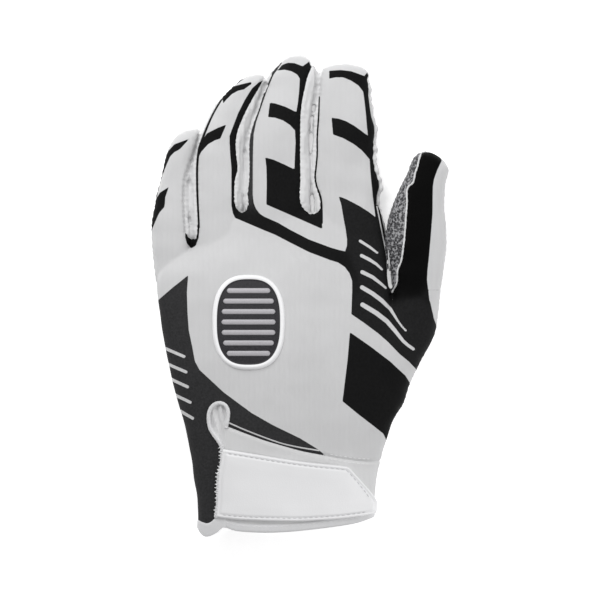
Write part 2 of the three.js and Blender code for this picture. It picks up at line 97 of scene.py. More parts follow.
HAND_SECTIONS = {
    "along": [
        0.000, 0.125, 0.186, 0.247, 0.360, 0.409, 0.482, 0.600, 0.735, 0.796, 0.851, 0.887, 0.933,
        1.000,
    ],
    "left": [
        -0.428, -0.430, -0.444, -0.456, -0.486, -0.504, -0.533, -0.568, -0.598, -0.600, -0.557, -0.464,
        -0.413, -0.400,
    ],
    "right": [
        0.307, 0.318, 0.326, 0.341, 0.389, 0.422, 0.434, 0.422, 0.392, 0.373, 0.367, 0.362, 0.356,
        0.328,
    ],
    "height": [0.93, 0.92, 0.93, 0.96, 1.00, 1.00, 1.00, 0.96, 0.86, 0.79, 0.71, 0.63, 0.54, 0.44],
}
FINGERS = {
    "little": {
        "root": (-0.523, 0.765), "length": 80.2, "width": 19.2, "height": 13.0, "tip": (10.0, 2.1),
        "along": [0.00, 0.18, 0.37, 0.56, 0.69, 0.81, 0.90, 1.00],
        "shift": [0.00, -0.06, -0.13, -0.04, 0.05, 0.15, 0.26, 0.39],
        "wide": [0.99, 1.00, 0.99, 0.99, 0.90, 0.85, 0.77, 0.70],
        "high": [1.00, 1.00, 1.00, 0.98, 0.96, 0.92, 0.86, 0.80],
    },
    "ring": {
        "root": (-0.320, 0.826), "length": 97.8, "width": 24.6, "height": 13.5, "tip": (8.5, 2.2),
        "along": [0.00, 0.15, 0.31, 0.45, 0.55, 0.61, 0.70, 0.76, 0.88, 1.00],
        "shift": [0.00, -0.05, -0.05, -0.03, -0.03, 0.00, 0.08, 0.15, 0.37, 0.69],
        "wide": [0.97, 0.99, 0.95, 1.00, 0.99, 0.95, 0.86, 0.83, 0.73, 0.65],
        "high": [1.00, 1.00, 1.00, 1.00, 1.00, 0.98, 0.95, 0.93, 0.88, 0.80],
    },
    "middle": {
        "root": (-0.074, 0.851), "length": 103.5, "width": 31.0, "height": 13.5, "tip": (13.0, 2.1),
        "along": [0.00, 0.26, 0.43, 0.58, 0.65, 0.79, 0.90, 1.00],
        "shift": [0.00, -0.04, -0.03, -0.03, -0.01, 0.08, 0.17, 0.24],
        "wide": [0.97, 1.00, 0.99, 0.99, 0.95, 0.81, 0.72, 0.66],
        "high": [1.00, 1.00, 0.98, 1.00, 0.98, 0.92, 0.86, 0.80],
    },
    "index": {
        "root": (0.229, 0.851), "length": 98.9, "width": 33.0, "height": 13.5, "tip": (7.5, 2.7),
        "along": [0.00, 0.27, 0.37, 0.48, 0.67, 0.84, 0.92, 1.00],
        "shift": [0.00, -0.03, -0.06, -0.09, -0.10, -0.11, -0.12, -0.14],
        "wide": [0.95, 0.94, 0.99, 0.98, 0.90, 0.83, 0.78, 0.75],
        "high": [1.00, 1.00, 0.98, 0.98, 1.00, 0.92, 0.87, 0.80],
    },
    "thumb": {
        "root": (0.273, 0.338), "length": 139.0, "width": 30.5, "height": 19.0, "tip": (10.0, 2.2),
        "along": [0.00, 0.08, 0.17, 0.25, 0.33, 0.39, 0.47, 0.51, 0.61, 0.70, 0.82, 0.88, 0.94, 1.00],
        "shift": [0.00, 0.14, 0.22, 0.37, 0.57, 0.71, 0.83, 0.85, 0.86, 0.86, 0.91, 0.96, 1.06, 0.99],
        "wide": [0.46, 0.90, 1.06, 1.12, 1.11, 0.95, 0.78, 0.78, 0.91, 0.99, 0.79, 0.72, 0.62, 0.56],
        "high": [0.90, 1.10, 1.18, 1.18, 1.12, 1.05, 1.00, 0.97, 0.93, 0.92, 0.86, 0.82, 0.76, 0.70],
    },
}

# Where two fingers meet: a point down the gap, its place across, and how wide it stands open.
FINGER_GAPS_PX = {
    ("little", "ring"): {
        "down": [140, 148, 158, 176, 194, 217, 235, 250],
        "across": [199.3, 196.4, 193.6, 190.8, 189.4, 189.9, 190.9, 191.4],
        "open": [1.2, 1.6, 2.0, 2.2, 2.2, 2.2, 2.4, 2.6],
    },
    ("ring", "middle"): {
        "down": [84, 91, 108, 130, 150, 170, 190, 205, 216],
        "across": [265.6, 262.8, 256.3, 248.8, 245.0, 244.4, 243.8, 243.4, 243.2],
        "open": [2.2, 2.2, 2.2, 2.2, 2.2, 2.2, 2.2, 2.2, 2.4],
    },
    ("middle", "index"): {
        "down": [66, 80, 95, 105, 120, 135, 148, 158, 170, 184, 191, 198, 206, 213],
        "across": [
            318.4, 317.4, 316.0, 314.4, 312.6, 311.6, 311.1, 310.7, 310.7, 311.0, 311.5, 312.0, 312.3,
            312.3,
        ],
        "open": [1.2, 1.6, 2.0, 2.5, 3.1, 3.4, 3.1, 2.3, 2.0, 2.1, 2.8, 3.6, 3.1, 2.3],
    },
}

# Where the outer edge of a finger follows the photograph closely.
FINGER_EDGES_PX = {
    ("ring", "left"): {
        "down": [84, 92, 100, 108, 116, 124, 134, 140],
        "across": [234.8, 227.2, 219.0, 213.6, 209.6, 205.8, 202.2, 200.0],
    },
    ("little", "right"): {
        "down": [124, 130, 134, 137, 140],
        "across": [214.0, 212.0, 207.0, 202.6, 198.7],
    },
    ("middle", "left"): {
        "down": [68, 72, 76, 80, 84],
        "across": [272.3, 269.8, 267.4, 266.7, 266.7],
    },
    ("index", "right"): {
        "down": [78, 96, 106, 116, 127, 134, 142, 151, 159, 172, 181, 187, 196, 205, 217, 232],
        "across": [
            368.4, 368.8, 369.9, 371.3, 374.3, 374.7, 373.7, 374.3, 374.1, 376.0, 379.2, 379.9,
            377.6, 378.0, 382.0, 385.4,
        ],
    },
    ("thumb", "left"): {
        "down": [150, 156, 164, 172, 180, 188, 196, 204, 212, 220, 230],
        "across": [409.4, 409.2, 408.9, 407.0, 403.0, 399.0, 395.4, 392.6, 390.4, 388.4, 387.2],
    },
}

# Outlines of the panels.
FOURCHETTE_PX = {
    "fourchette_little_ring": [
        (203, 118), (199, 136), (196, 150), (190, 168), (186.6, 180), (185, 200), (185.4, 215),
        (186.5, 231), (188.6, 237.4), (193.4, 239.5), (196.8, 237.4), (197.6, 230), (197.1, 210),
        (196.1, 183), (196.2, 165), (197.5, 150.6), (199.9, 142.6), (205.5, 127.7), (212.4, 112.7),
        (221.4, 97.8), (228.6, 89.4), (236.5, 82.5), (232, 78), (208, 98),
    ],
    "fourchette_ring_middle": [
        (272, 66), (262, 83), (259, 88.6), (251, 102.4), (244.1, 116.2), (238.4, 130), (236, 142.6),
        (236.4, 154.1), (237.8, 169), (235.2, 180.5), (234.6, 191.9), (235, 203.4), (237.8, 209.2),
        (241.8, 212.8), (246.6, 210), (248.6, 203), (247.8, 194), (249.2, 182), (249.7, 166),
        (249.4, 148), (250.6, 135.7), (254.1, 123), (259.2, 109.3), (264.6, 92), (271.7, 76),
    ],
    "fourchette_middle_index": [
        (316, 55), (311, 69), (307.3, 78.3), (304.4, 90.9), (302.1, 102.4), (300.6, 116.2),
        (300.2, 136.8), (300.2, 160), (300.4, 180.5), (299.8, 193), (300.4, 202.3), (303.8, 209.2),
        (310.7, 214.3), (316.5, 213), (319.8, 209.2), (320, 201), (318.3, 194.2), (315.6, 186),
        (314.2, 177), (315.2, 166.7), (316.3, 154), (316.3, 136.8), (317.6, 116.2), (318.4, 96.7),
        (319.2, 80), (321.5, 66), (323, 55),
    ],
}
GRIP_EDGE_PX = [
    (427, 140), (422.4, 150), (420.4, 155.5), (418.6, 160.3), (417, 167.4), (415, 172.6), (412.6, 183),
    (408.4, 186.6), (406.4, 192), (406.4, 203), (405.4, 218.3), (403.5, 241.2), (400.8, 260.4),
    (397.3, 270.3), (396.4, 283.3), (391, 294),
]
HEM_PX = [
    (180, 516), (196, 523.5), (201.5, 531.5), (206, 534.6), (212, 533.4), (218.6, 529.6),
    (223.4, 525.2), (236.1, 529.1), (251, 530.5), (271, 530.8), (293.5, 529.6), (325.4, 526.2),
    (355.4, 521.8), (374, 515.8), (395, 508),
]
CUFF_SEAM_PX = [
    (227.5, 425.4), (245, 432), (264.8, 439.3), (285.5, 445.4), (303, 450.2), (325.9, 454.7),
    (343.3, 457.8), (363.7, 460.3), (379, 460), (400, 458),
]
SLIT_PX = [
    (226.6, 427), (228.5, 418), (228.8, 410), (225.6, 404), (219.5, 402), (213.2, 405.2),
    (209.6, 413.4), (210.4, 425.2), (214, 432.6), (219.6, 440.6), (222.8, 448), (222.4, 463),
    (219.7, 474), (219, 490), (218.4, 506), (216.6, 516),
]
FLAP_CAP_PX = [
    (190, 515.5), (198.2, 518.7), (203, 520.8), (208, 521.8), (212.5, 519.6), (216.6, 515.5),
    (221, 514), (226, 513.6),
]
# The white cloth that shows in the crotch between the index finger and the thumb.
CROTCH_FOLD_PX = [(388.0, 250), (388.8, 260), (389.6, 270), (390.2, 281), (391.2, 292)]

# Where the cutting blocks close: the grip's far side, and the feet of the slit and of the flap's end.
GRIP_FAR_PX = [(387.6, 274), (384.5, 243), (388, 190), (400, 140)]
SLIT_FOOT_PX = [(215, 560), (227.2, 560)]
CAP_FOOT_PX = [(226, 524), (226, 560), (185, 560), (185, 514)]

# Single places: the slit's top, the left ends of cuff and hem, the cuff's stitches, and the ruffle's rows.
SLIT_TOP_PX = (219, 402)
CUFF_LEFT_PX = 226.8
HEM_LEFT_PX = 222.6
CUFF_STITCHES_PX = (326, 372)
RUFFLE_ROWS_PX = (212, 80)

STRAP_PX = {
    "left": [
        (223.6, 447.6), (222.6, 456), (221.4, 464), (219.8, 473), (219.2, 488), (218.6, 504),
        (217.4, 515.6),
    ],
    "right": [(374.6, 501), (374.2, 507), (373.2, 511.8)],
    "top": [
        (223.6, 447.6), (240, 450.2), (258.6, 453.3), (280, 456.8), (302, 460), (327, 462.8),
        (341.4, 464.3), (347.8, 465.8), (352.7, 470.9), (360.8, 480.3), (367.4, 488.5), (372.2, 495.6),
        (374.6, 501),
    ],
    "bottom": [
        (217.4, 515.6), (236, 517.6), (258.6, 518.8), (280, 519.3), (302, 519.3), (327.3, 518),
        (341.4, 516.9), (350, 515.8), (358, 514.7), (363, 513.9), (368, 513), (371, 512.4),
        (373.2, 511.8),
    ],
}

# The black print: closed shapes, bare slashes across them, and fine lines.
PRINT_PX = {
    "little_top_bar": [
        (190.2, 139.1), (174.7, 144.9), (167.8, 152.3), (166, 158.6), (162.4, 170), (158.8, 185),
        (155.4, 200), (157.4, 197), (160, 185), (163.2, 174.7), (167.4, 164.4), (170.7, 156.9),
        (174.7, 152.9), (180.1, 150),
    ],
    "little_low_bar": [
        (169.3, 187.4), (160.3, 193.1), (156, 200), (152.5, 210), (149, 232), (152.3, 230.6),
        (155.4, 223), (159.8, 213.2), (164.9, 207.5), (165.5, 203.4), (165.8, 197.7),
    ],
    "ring_top_bar": [
        (251.6, 82.7), (236.7, 86.2), (230.6, 88.4), (226, 94), (222.5, 99), (223.6, 104),
        (226.9, 100.1), (232.1, 94.9), (238.4, 91.5), (244.1, 90.3), (251.6, 84.8),
    ],
    "ring_low_bar": [
        (226.7, 125.2), (217.7, 128.8), (207.4, 134), (204.4, 138), (200, 149), (199, 158),
        (201.7, 152.3), (208.5, 144.9), (215.4, 140.9), (220.6, 139.5),
    ],
    "ring_side": [
        (266.4, 79.6), (259.1, 82.9), (252.2, 89.2), (245.3, 100.1), (238.4, 113.9), (232.7, 128.8),
        (229.8, 136.8), (229.8, 142.6), (230.4, 154.1), (231.7, 169), (231.7, 188.5), (231.7, 205.7),
        (233.2, 213.8), (235.5, 218.3), (249, 224), (256, 212), (253, 205), (249.5, 208), (241, 213),
        (236, 208), (234.6, 195), (236.4, 180), (240, 169), (238.4, 150), (240.4, 130), (246, 116.2),
        (253, 102.4), (261, 88.6),
    ],
    "crossing_stripe": [
        (235.5, 218.3), (262.7, 230), (275, 235), (290, 242.8), (308.7, 252.3), (330, 260.4),
        (337.7, 262.7), (344.5, 267.2), (349.1, 273.4), (351.8, 281), (352.2, 300), (365, 290),
        (350, 252), (344.9, 251.6), (339.2, 250.4), (330, 247.7), (308.7, 239.7), (290, 230),
        (278, 223), (264.8, 217.2), (260.2, 214.3), (256.2, 209.2), (253.9, 203.4), (247, 206),
        (243, 212),
    ],
    "middle_left": [
        (281.4, 62.4), (271.7, 73.6), (264.2, 90), (258, 109), (252.6, 123), (249, 135.7), (248, 148.3),
        (248.4, 165.5), (248, 183), (246.8, 194), (247.4, 203), (245, 210), (250, 214), (256.2, 209.2),
        (253.9, 203.4), (253, 195.4), (253, 182.8), (253, 165.5), (253.3, 148.3), (253.9, 134.5),
        (256.2, 123.1), (260.8, 109.3), (267.1, 90.9), (273.4, 76), (282, 63.6),
    ],
    "middle_top_bar": [
        (277.4, 71.4), (282, 65.7), (287.8, 63.4), (294.6, 63.9), (302.7, 67), (309, 62.2),
        (313.2, 66.8), (310.1, 71), (304, 79), (299.8, 79.4), (296.9, 75.1), (291.2, 72), (284.3, 70.5),
    ],
    "middle_side": [
        (303, 66.8), (311.4, 69), (308.6, 78.3), (305.8, 90.9), (303.6, 102.4), (302, 116.2),
        (301.8, 136.8), (301.8, 160), (301.8, 180.5), (301, 193), (301.6, 202), (305, 208.6),
        (296, 210), (294.4, 170), (294.9, 157.5), (295.6, 142.6), (294.9, 131.1), (296.4, 112.7),
        (298, 102.4), (299.2, 90.9), (299.8, 78.5),
    ],
    "middle_low_bar": [
        (270, 103.3), (276.3, 104.5), (285.5, 107.6), (295.8, 112.7), (299, 113), (299, 131),
        (294.9, 131.1), (290.1, 125.9), (283.2, 121.3), (275.1, 118.5), (268.2, 117.9),
    ],
    "middle_block": [
        (265.4, 158), (274, 160.4), (284.3, 165), (294.4, 169.9), (300, 176), (301, 193),
        (301.4, 202.3), (304.6, 208.6), (310.7, 213.6), (316.5, 212.6), (319, 208.4), (321.6, 208),
        (322.2, 229.4), (303.8, 221.2), (283.2, 212.2), (266.5, 205), (266.9, 182.8), (266.5, 167.8),
    ],
    "index_top_bar": [
        (329.1, 71.5), (340.8, 70.8), (351, 72), (361.2, 75.6), (364.1, 76.8), (366.8, 73.2),
        (368.8, 74.8), (367.3, 78.7), (368.6, 85), (366, 97), (363.5, 96), (362.8, 92.1), (358.2, 86.3),
        (351, 81.5), (342.9, 78.2), (335.7, 78.2), (329.1, 79.5),
    ],
    "index_side": [
        (367.4, 79), (368.6, 84.8), (368.2, 96), (369.4, 106.2), (370.9, 116.4), (374, 126.6),
        (374.3, 133.8), (373.3, 141.9), (374, 151.1), (373.7, 159.3), (375.5, 172.6), (378.6, 180.7),
        (379, 187), (376.6, 196), (376.4, 205), (379.6, 205.6), (381.4, 216.7), (384, 229.7),
        (386, 241.2), (387.6, 252.7), (388.2, 272), (388.6, 288), (391.5, 297), (388, 300),
        (375.2, 217.5), (372.7, 198.1), (371.4, 185.8), (370.2, 172.6), (369.4, 159.8), (366.3, 156.2),
        (365, 145), (367.6, 136.3), (366.5, 125.6), (365.3, 111.3), (363.5, 96), (363, 92),
    ],
    "index_low_bar": [
        (331.4, 118.5), (338.8, 119.5), (345.9, 122), (354.1, 126.6), (361.2, 131.7), (367.6, 136.3),
        (371, 142), (371, 160), (369.4, 159.8), (366.3, 156.2), (361.2, 150.6), (353.1, 144.5),
        (342.9, 138.9), (332.9, 135.3),
    ],
    "knuckle_block": [
        (338.4, 196.5), (346.8, 199.9), (359.1, 206.4), (368.3, 212.1), (375.2, 217.5), (378, 217),
        (392, 300), (400, 290), (440, 290), (427.6, 291), (428.7, 300), (429.9, 303.8), (433.3, 318.7),
        (437, 328), (436, 335), (416.6, 370), (408.1, 361.2), (398.9, 353.7), (387.4, 341.7),
        (378.2, 333.6), (364.4, 323.3), (351, 314.1), (351.8, 290), (351.6, 268), (349, 262),
        (344.9, 251.6), (346.7, 245.8), (346.8, 239.7), (345.3, 229), (343, 216.7), (341.1, 205.3),
    ],
    "thumb_back": [
        (421.2, 148), (434.7, 148), (441.3, 161), (436.7, 170.5), (433.3, 180), (432.2, 187.7),
        (431.8, 214.4), (430.3, 233.6), (428.3, 256.5), (426.8, 270.3), (426.3, 280.3), (427.6, 291),
        (428.7, 302), (400, 310), (389.6, 296), (391, 293.6), (396.6, 283.3), (397.4, 270.3),
        (400.9, 260.4), (403.6, 241.2), (405.5, 218.3), (406.5, 203), (406.5, 192), (408.5, 186.6),
        (412.7, 183), (415.1, 172.6), (417.1, 167.4), (418.7, 160.3), (420.5, 155.5),
    ],
    "low_block": [
        (349.5, 331.9), (370.2, 346.3), (389.7, 361.2), (404.6, 375), (409.4, 382.4), (416, 384),
        (395, 424), (388, 440), (385.7, 439.2), (382.8, 432.9), (373.6, 425.5), (358.7, 414),
        (342.1, 400.4), (347.2, 358.9),
    ],
    "side_panel": [
        (188.9, 275.4), (173, 288), (158.6, 300.4), (150, 306), (150, 400), (185, 530), (205, 525),
        (217, 518), (219, 500), (219.6, 480), (222, 464), (223, 450), (219, 438), (214, 430),
        (209, 418), (214, 404), (222, 402), (230, 408), (229.5, 420), (226, 424.6), (245.7, 432.3),
        (264.8, 439.3), (285.5, 445.4), (303, 450.2), (325.6, 454.4), (317.8, 448), (300, 437),
        (272.8, 423.8), (252, 411.9), (224.9, 392), (213, 381), (200.4, 369.4), (195.8, 361),
        (193, 346), (189.6, 330), (188.3, 312), (187.7, 292),
    ],
    "little_crotch": [
        (185.5, 233), (185.7, 238), (187.2, 243.6), (191.4, 248.6), (196.1, 245.9), (199.0, 238.2),
        (199.9, 227.5), (198.4, 222), (196.6, 232), (195, 236.6), (193, 238), (190, 236.6),
    ],
}
SLASHES_PX = [
    [(359.8, 241.2, 2.8), (368.9, 247, 2.6), (377.2, 253.2, 1.9)],
    [(361.2, 255.8, 3.3), (369, 259.8, 3.2), (375.9, 264.2, 2.7), (381.7, 269.6, 2.0)],
    [(361.8, 272.2, 3.8), (372.1, 277.2, 3.5), (379, 282.5, 2.9), (385.5, 288, 2.1)],
    [
        (361.6, 287.4, 4.2), (372.1, 293.6, 4.2), (381.4, 300.6, 4.1), (389.9, 309, 3.2),
        (396.8, 320.2, 2.2), (401.2, 326.2, 1.8), (405, 330.4, 2.0),
    ],
    [
        (362, 304.6, 4.4), (375.9, 313, 4.6), (386.3, 321, 4.4), (394.3, 330.4, 3.8),
        (402.3, 340.6, 3.2), (407, 344.8, 3.0), (412.6, 348.7, 3.0),
    ],
    [(160, 345.5, 3.0), (167, 348.6, 3.0), (184.9, 356.2, 3.0)],
    [(162, 361, 3.0), (169, 364, 3.0), (186.9, 371.5, 3.0)],
    [(165, 375.8, 3.0), (172.7, 379.2, 3.0), (188.5, 386.3, 3.0)],
    [(170, 392, 3.0), (177.2, 395.2, 3.0), (191, 401.6, 3.0)],
    [(175, 407.8, 3.0), (181.8, 410.9, 3.0), (193.5, 417.5, 3.0)],
]
INK_LINES_PX = [
    [
        (247, 77, 0.8), (238.4, 83, 1.0), (230.4, 89.8, 1.4), (223.5, 97.8, 1.9), (214.3, 112.7, 2.1),
        (207.4, 127.7, 2.4), (201.7, 142.6, 2.6), (199.2, 150.6, 2.5), (197.6, 165.5, 2.4),
        (197.5, 182.8, 2.3), (198, 200, 2.2), (198.9, 217.2, 2.0), (199.3, 229, 2.0),
    ],
    [
        (319.3, 96.7, 1.2), (318.6, 116.2, 1.6), (317.2, 136.8, 1.7), (317.1, 154, 1.8),
        (316.1, 166.7, 1.8), (315.1, 177, 1.9), (316.4, 186.2, 2.0), (319.4, 194.2, 2.1),
        (321, 201.1, 2.3), (321.5, 211.5, 2.4), (322, 224, 1.6),
    ],
]
BARE_LINES_PX = [
    [
        (226.5, 420.4, 1.3), (236, 424.6, 1.3), (245.7, 428.8, 1.3), (261.6, 435, 1.3),
        (280.7, 441.7, 1.3), (298.3, 445.8, 1.3), (320, 449.4, 1.3),
    ],
    [
        (376.6, 206, 1.2), (379, 218.3, 1.2), (382, 233.6, 1.1), (384.3, 245, 1.0), (386.2, 256.5, 0.8),
        (387, 270.3, 0.5),
    ],
]

# The brightness of the ink: one for the print as a whole, and one for each shape that differs from it. These
# tones are partly the print's own black and charcoal and partly painted light: the lighter side panel and
# line left of the middle finger carry painted highlight from the light on the left, and the darker thumb
# carries painted shade.
# INK_BLEND sets how softly two tones blend where their shapes meet.
INK_TONE = 0.006
INK_TONES_AND_PAINTED_LIGHT = {"side_panel": 0.028, "knuckle_block": 0.012, "middle_left": 0.040, "thumb_back": 0.001}
INK_BLEND = 1.5


def clamp(value, low, high):
    return max(low, min(high, value))


def plan(point):
    """A photo pixel as a plan point in millimetres."""
    return ((point[0] - PHOTO_ORIGIN[0]) / PIXELS_PER_MM, (PHOTO_ORIGIN[1] - point[1]) / PIXELS_PER_MM)


def plan_all(points):
    return np.array([plan(p) for p in points], float)


def down_photo(y):
    """The photo's row for a place along the hand."""
    return PHOTO_ORIGIN[1] - y * PIXELS_PER_MM


def read(keys, values, at):
    """A smooth curve through a column of a table, read at `at`."""
    last = len(keys) - 1
    i = 0
    while i < last - 1 and at > keys[i + 1]:
        i += 1
    span = keys[i + 1] - keys[i]

    def slope(j):
        low, high = max(j - 1, 0), min(j + 1, last)
        return (values[high] - values[low]) / (keys[high] - keys[low])

    t = clamp((at - keys[i]) / span, 0.0, 1.0)
    rise = values[i + 1] - values[i]
    a = slope(i) * span - rise
    b = rise - slope(i + 1) * span
    return values[i] + t * rise + t * (1 - t) * (a * (1 - t) + b * t)


def curve(points, step=1.0, closed=False):
    """A smooth line through the points, sampled about every `step` in their own units."""
    p = np.asarray(points, float)
    if closed:
        p = np.vstack([p[-1], p, p[0], p[1]])
    else:
        p = np.vstack([2 * p[0] - p[1], p, 2 * p[-1] - p[-2]])
    out = []
    for k in range(1, len(p) - 2):
        a, b, c, d = p[k - 1 : k + 3]
        count = max(1, int(round(np.linalg.norm(c[:2] - b[:2]) / step)))
        for t in np.arange(count) / count:
            out.append(0.5 * (
                2 * b + (c - a) * t
                + (2 * a - 5 * b + 4 * c - d) * t * t
                + (3 * b - a - 3 * c + d) * t**3
            ))
    if not closed:
        out.append(p[-2])
    return np.array(out)


def length_along(line):
    """The length from the line's start to each of its points."""
    return np.concatenate([[0], np.cumsum(np.linalg.norm(np.diff(line, axis=0), axis=1))])


def directions(line):
    """The unit direction of an open line at each of its points."""
    way = np.gradient(line, axis=0)
    return way / np.linalg.norm(way, axis=1)[:, None]


def resampled_to(line, count):
    """The same open line with `count` evenly spaced points."""
    run = length_along(line)
    at = np.linspace(0, run[-1], count)
    return np.stack([np.interp(at, run, line[:, k]) for k in range(line.shape[1])], axis=1)


def resampled(line, step):
    """The same open line with points every `step` along it."""
    return resampled_to(line, max(2, int(round(length_along(line)[-1] / step)) + 1))


def rounded(share):
    """A quarter-round rise from 0 to 1 while the share goes from 0 to 1."""
    return np.sqrt(np.clip(1 - (1 - np.clip(share, 0, 1)) ** 2, 0, 1))


class Along:
    """Where plan points lie beside a line: distance, signed distance, length along it and width there."""

    def __init__(self, points, line, closed=False, widths=None, reach=1e9):
        line = np.asarray(line, float)
        ends = np.roll(line, -1, axis=0) if closed else line[1:]
        starts = line if closed else line[:-1]
        low, high = line.min(axis=0) - reach, line.max(axis=0) + reach
        near = np.where(((points[:, :2] >= low) & (points[:, :2] <= high)).all(axis=1))[0]
        q = points[near, :2]
        best = np.full(len(q), 1e9)
        side = np.ones(len(q))
        run = np.zeros(len(q))
        width = np.zeros(len(q))
        beyond = np.zeros(len(q), bool)
        done = 0.0
        last = len(starts) - 1
        for k, (a, b) in enumerate(zip(starts, ends)):
            ab = b - a
            size = np.linalg.norm(ab)
            if size < 1e-9:
                continue
            free = ((q - a) @ ab) / (size * size)
            t = np.clip(free, 0, 1)
            off = q - a - t[:, None] * ab
            d = np.hypot(off[:, 0], off[:, 1])
            nearer = d < best
            best[nearer] = d[nearer]
            side[nearer] = np.sign(ab[0] * off[nearer, 1] - ab[1] * off[nearer, 0])
            run[nearer] = done + size * t[nearer]
            if widths is not None:
                width[nearer] = (widths[k] * (1 - t) + widths[min(k + 1, len(widths) - 1)] * t)[nearer]
            if not closed:
                beyond[nearer] = ((k == 0) & (free[nearer] < 0)) | ((k == last) & (free[nearer] > 1))
            done += size
        count = len(points)
        self.distance = np.full(count, 1e9)
        self.distance[near] = best
        self.signed = np.full(count, 1e9)
        self.signed[near] = best * np.where(side == 0, 1, side)
        self.run = np.zeros(count)
        self.run[near] = run
        self.width = np.zeros(count)
        self.width[near] = width
        self.beyond = np.ones(count, bool)
        self.beyond[near] = beyond


def inside(points, outline):
    """True for each point that lies in the closed outline."""
    x, y = points[:, 0], points[:, 1]
    odd = np.zeros(len(points), bool)
    for (x1, y1), (x2, y2) in zip(outline, np.roll(outline, -1, axis=0)):
        if y1 == y2:
            continue
        crosses = (y1 > y) != (y2 > y)
        odd ^= crosses & (x < (x2 - x1) * (y - y1) / (y2 - y1) + x1)
    return odd


def shape_distance(points, outline, reach=4.0):
    """Signed distance to a closed outline on the plan, negative inside."""
    d = Along(points, outline, closed=True, reach=reach).distance
    return np.where(inside(points, outline), -np.minimum(d, 50), d)


def waves(points, length, seed, count=10):
    """A smooth uneven field from -1 to 1 or so, with swells about `length` long."""
    rng = np.random.default_rng(seed)
    total = np.zeros(len(points))
    for _ in range(count):
        way = rng.normal(size=3)
        way /= np.linalg.norm(way)
        swell = length * rng.uniform(0.7, 1.5)
        phase = rng.uniform(0, TAU)
        total += np.sin(points @ way * (TAU / swell) + phase)
    return total / math.sqrt(count)


# Meshes.


def new_object(name, verts, faces):
    """An object from points in millimetres."""
    mesh = bpy.data.meshes.new(name)
    mesh.from_pydata((np.asarray(verts, float) * MM).tolist(), [], [tuple(int(i) for i in f) for f in faces])
    mesh.validate()
    obj = bpy.data.objects.new(name, mesh)
    bpy.context.scene.collection.objects.link(obj)
    return obj


def drop_object(obj):
    mesh = obj.data
    bpy.data.objects.remove(obj)
    if mesh.users == 0:
        bpy.data.meshes.remove(mesh)


def bake_modifiers(obj):
    """Replaces the object's mesh by what its modifiers make of it."""
    graph = bpy.context.evaluated_depsgraph_get()
    mesh = bpy.data.meshes.new_from_object(obj.evaluated_get(graph))
    old = obj.data
    obj.modifiers.clear()
    obj.data = mesh
    bpy.data.meshes.remove(old)


def get_points(obj):
    """The vertices in millimetres."""
    co = np.empty(len(obj.data.vertices) * 3, np.float32)
    obj.data.vertices.foreach_get("co", co)
    return co.reshape(-1, 3).astype(float) / MM


def set_points(obj, points):
    obj.data.vertices.foreach_set("co", (points * MM).astype(np.float32).ravel())
    obj.data.update()


def get_normals(obj):
    n = np.empty(len(obj.data.vertices) * 3, np.float32)
    obj.data.vertex_normals.foreach_get("vector", n)
    return n.reshape(-1, 3).astype(float)


def get_edges(obj):
    e = np.empty(len(obj.data.edges) * 2, np.int32)
    obj.data.edges.foreach_get("vertices", e)
    return e.reshape(-1, 2)


def set_value(obj, name, values):
    """Stores one number for each vertex, for the material to read."""
    attribute = obj.data.attributes.new(name, "FLOAT", "POINT")
    attribute.data.foreach_set("value", np.asarray(values, np.float32))


def smoothed(obj, rounds):
    """Moves each point towards the mean of its neighbours, without shrinking the form as a whole."""
    p = get_points(obj)
    e = get_edges(obj)
    count = np.bincount(e.ravel(), minlength=len(p))[:, None]

    def relaxed(q, f):
        total = np.zeros_like(q)
        for axis in range(3):
            total[:, axis] = np.bincount(e[:, 0], q[e[:, 1], axis], len(q)) + np.bincount(
                e[:, 1], q[e[:, 0], axis], len(q)
            )
        return q + f * (total / count - q)

    for _ in range(rounds):
        p = relaxed(p, SMOOTHING_SHARE)
        p = relaxed(p, -SMOOTHING_SHARE * SMOOTHING_REGAIN)
    set_points(obj, p)


def tube_faces(rings, count):
    """The faces of a tube of `rings` rings with `count` points each, closed at both ends."""
    faces = []
    for r in range(rings - 1):
        s = r + 1
        for i in range(count):
            j = (i + 1) % count
            faces.append((r * count + i, r * count + j, s * count + j, s * count + i))
    faces.append(tuple(range(count))[::-1])
    faces.append(tuple((rings - 1) * count + i for i in range(count)))
    return faces


def loft(name, rings):
    """A closed tube through rings of the same number of points."""
    return new_object(name, np.vstack(rings), tube_faces(len(rings), len(rings[0])))


def prism(name, outline, low=-60.0, high=80.0):
    """An upright block with the given outline, for cutting."""
    outline = np.asarray(outline, float)
    after = np.roll(outline, -1, axis=0)
    area = (outline[:, 0] * after[:, 1] - after[:, 0] * outline[:, 1]).sum()
    ring = outline if area > 0 else outline[::-1]
    count = len(ring)
    verts = np.vstack([np.c_[ring, np.full(count, low)], np.c_[ring, np.full(count, high)]])
    faces = [(i, (i + 1) % count, count + (i + 1) % count, count + i) for i in range(count)]
    faces += [tuple(range(count))[::-1], tuple(range(count, 2 * count))]
    obj = new_object(name, verts, faces)
    obj.modifiers.new("triangles", "TRIANGULATE")
    bake_modifiers(obj)
    return obj


def boolean(obj, cutter, operation, keep_cutter=False):
    modifier = obj.modifiers.new("cut", "BOOLEAN")
    modifier.object = cutter
    modifier.operation = operation
    modifier.solver = "MANIFOLD"
    bake_modifiers(obj)
    if not keep_cutter:
        drop_object(cutter)
    return obj


def copy_object(obj, name):
    twin = bpy.data.objects.new(name, obj.data.copy())
    bpy.context.scene.collection.objects.link(twin)
    return twin


def remeshed(obj, voxel):
    modifier = obj.modifiers.new("skin", "REMESH")
    modifier.mode = "VOXEL"
    modifier.voxel_size = voxel * MM
    bake_modifiers(obj)
    return obj


def joined(name, objects):
    verts, faces, base = [], [], 0
    for obj in objects:
        p = get_points(obj)
        verts.append(p)
        faces += [[base + i for i in f.vertices] for f in obj.data.polygons]
        base += len(p)
        drop_object(obj)
    return new_object(name, np.vstack(verts), faces)


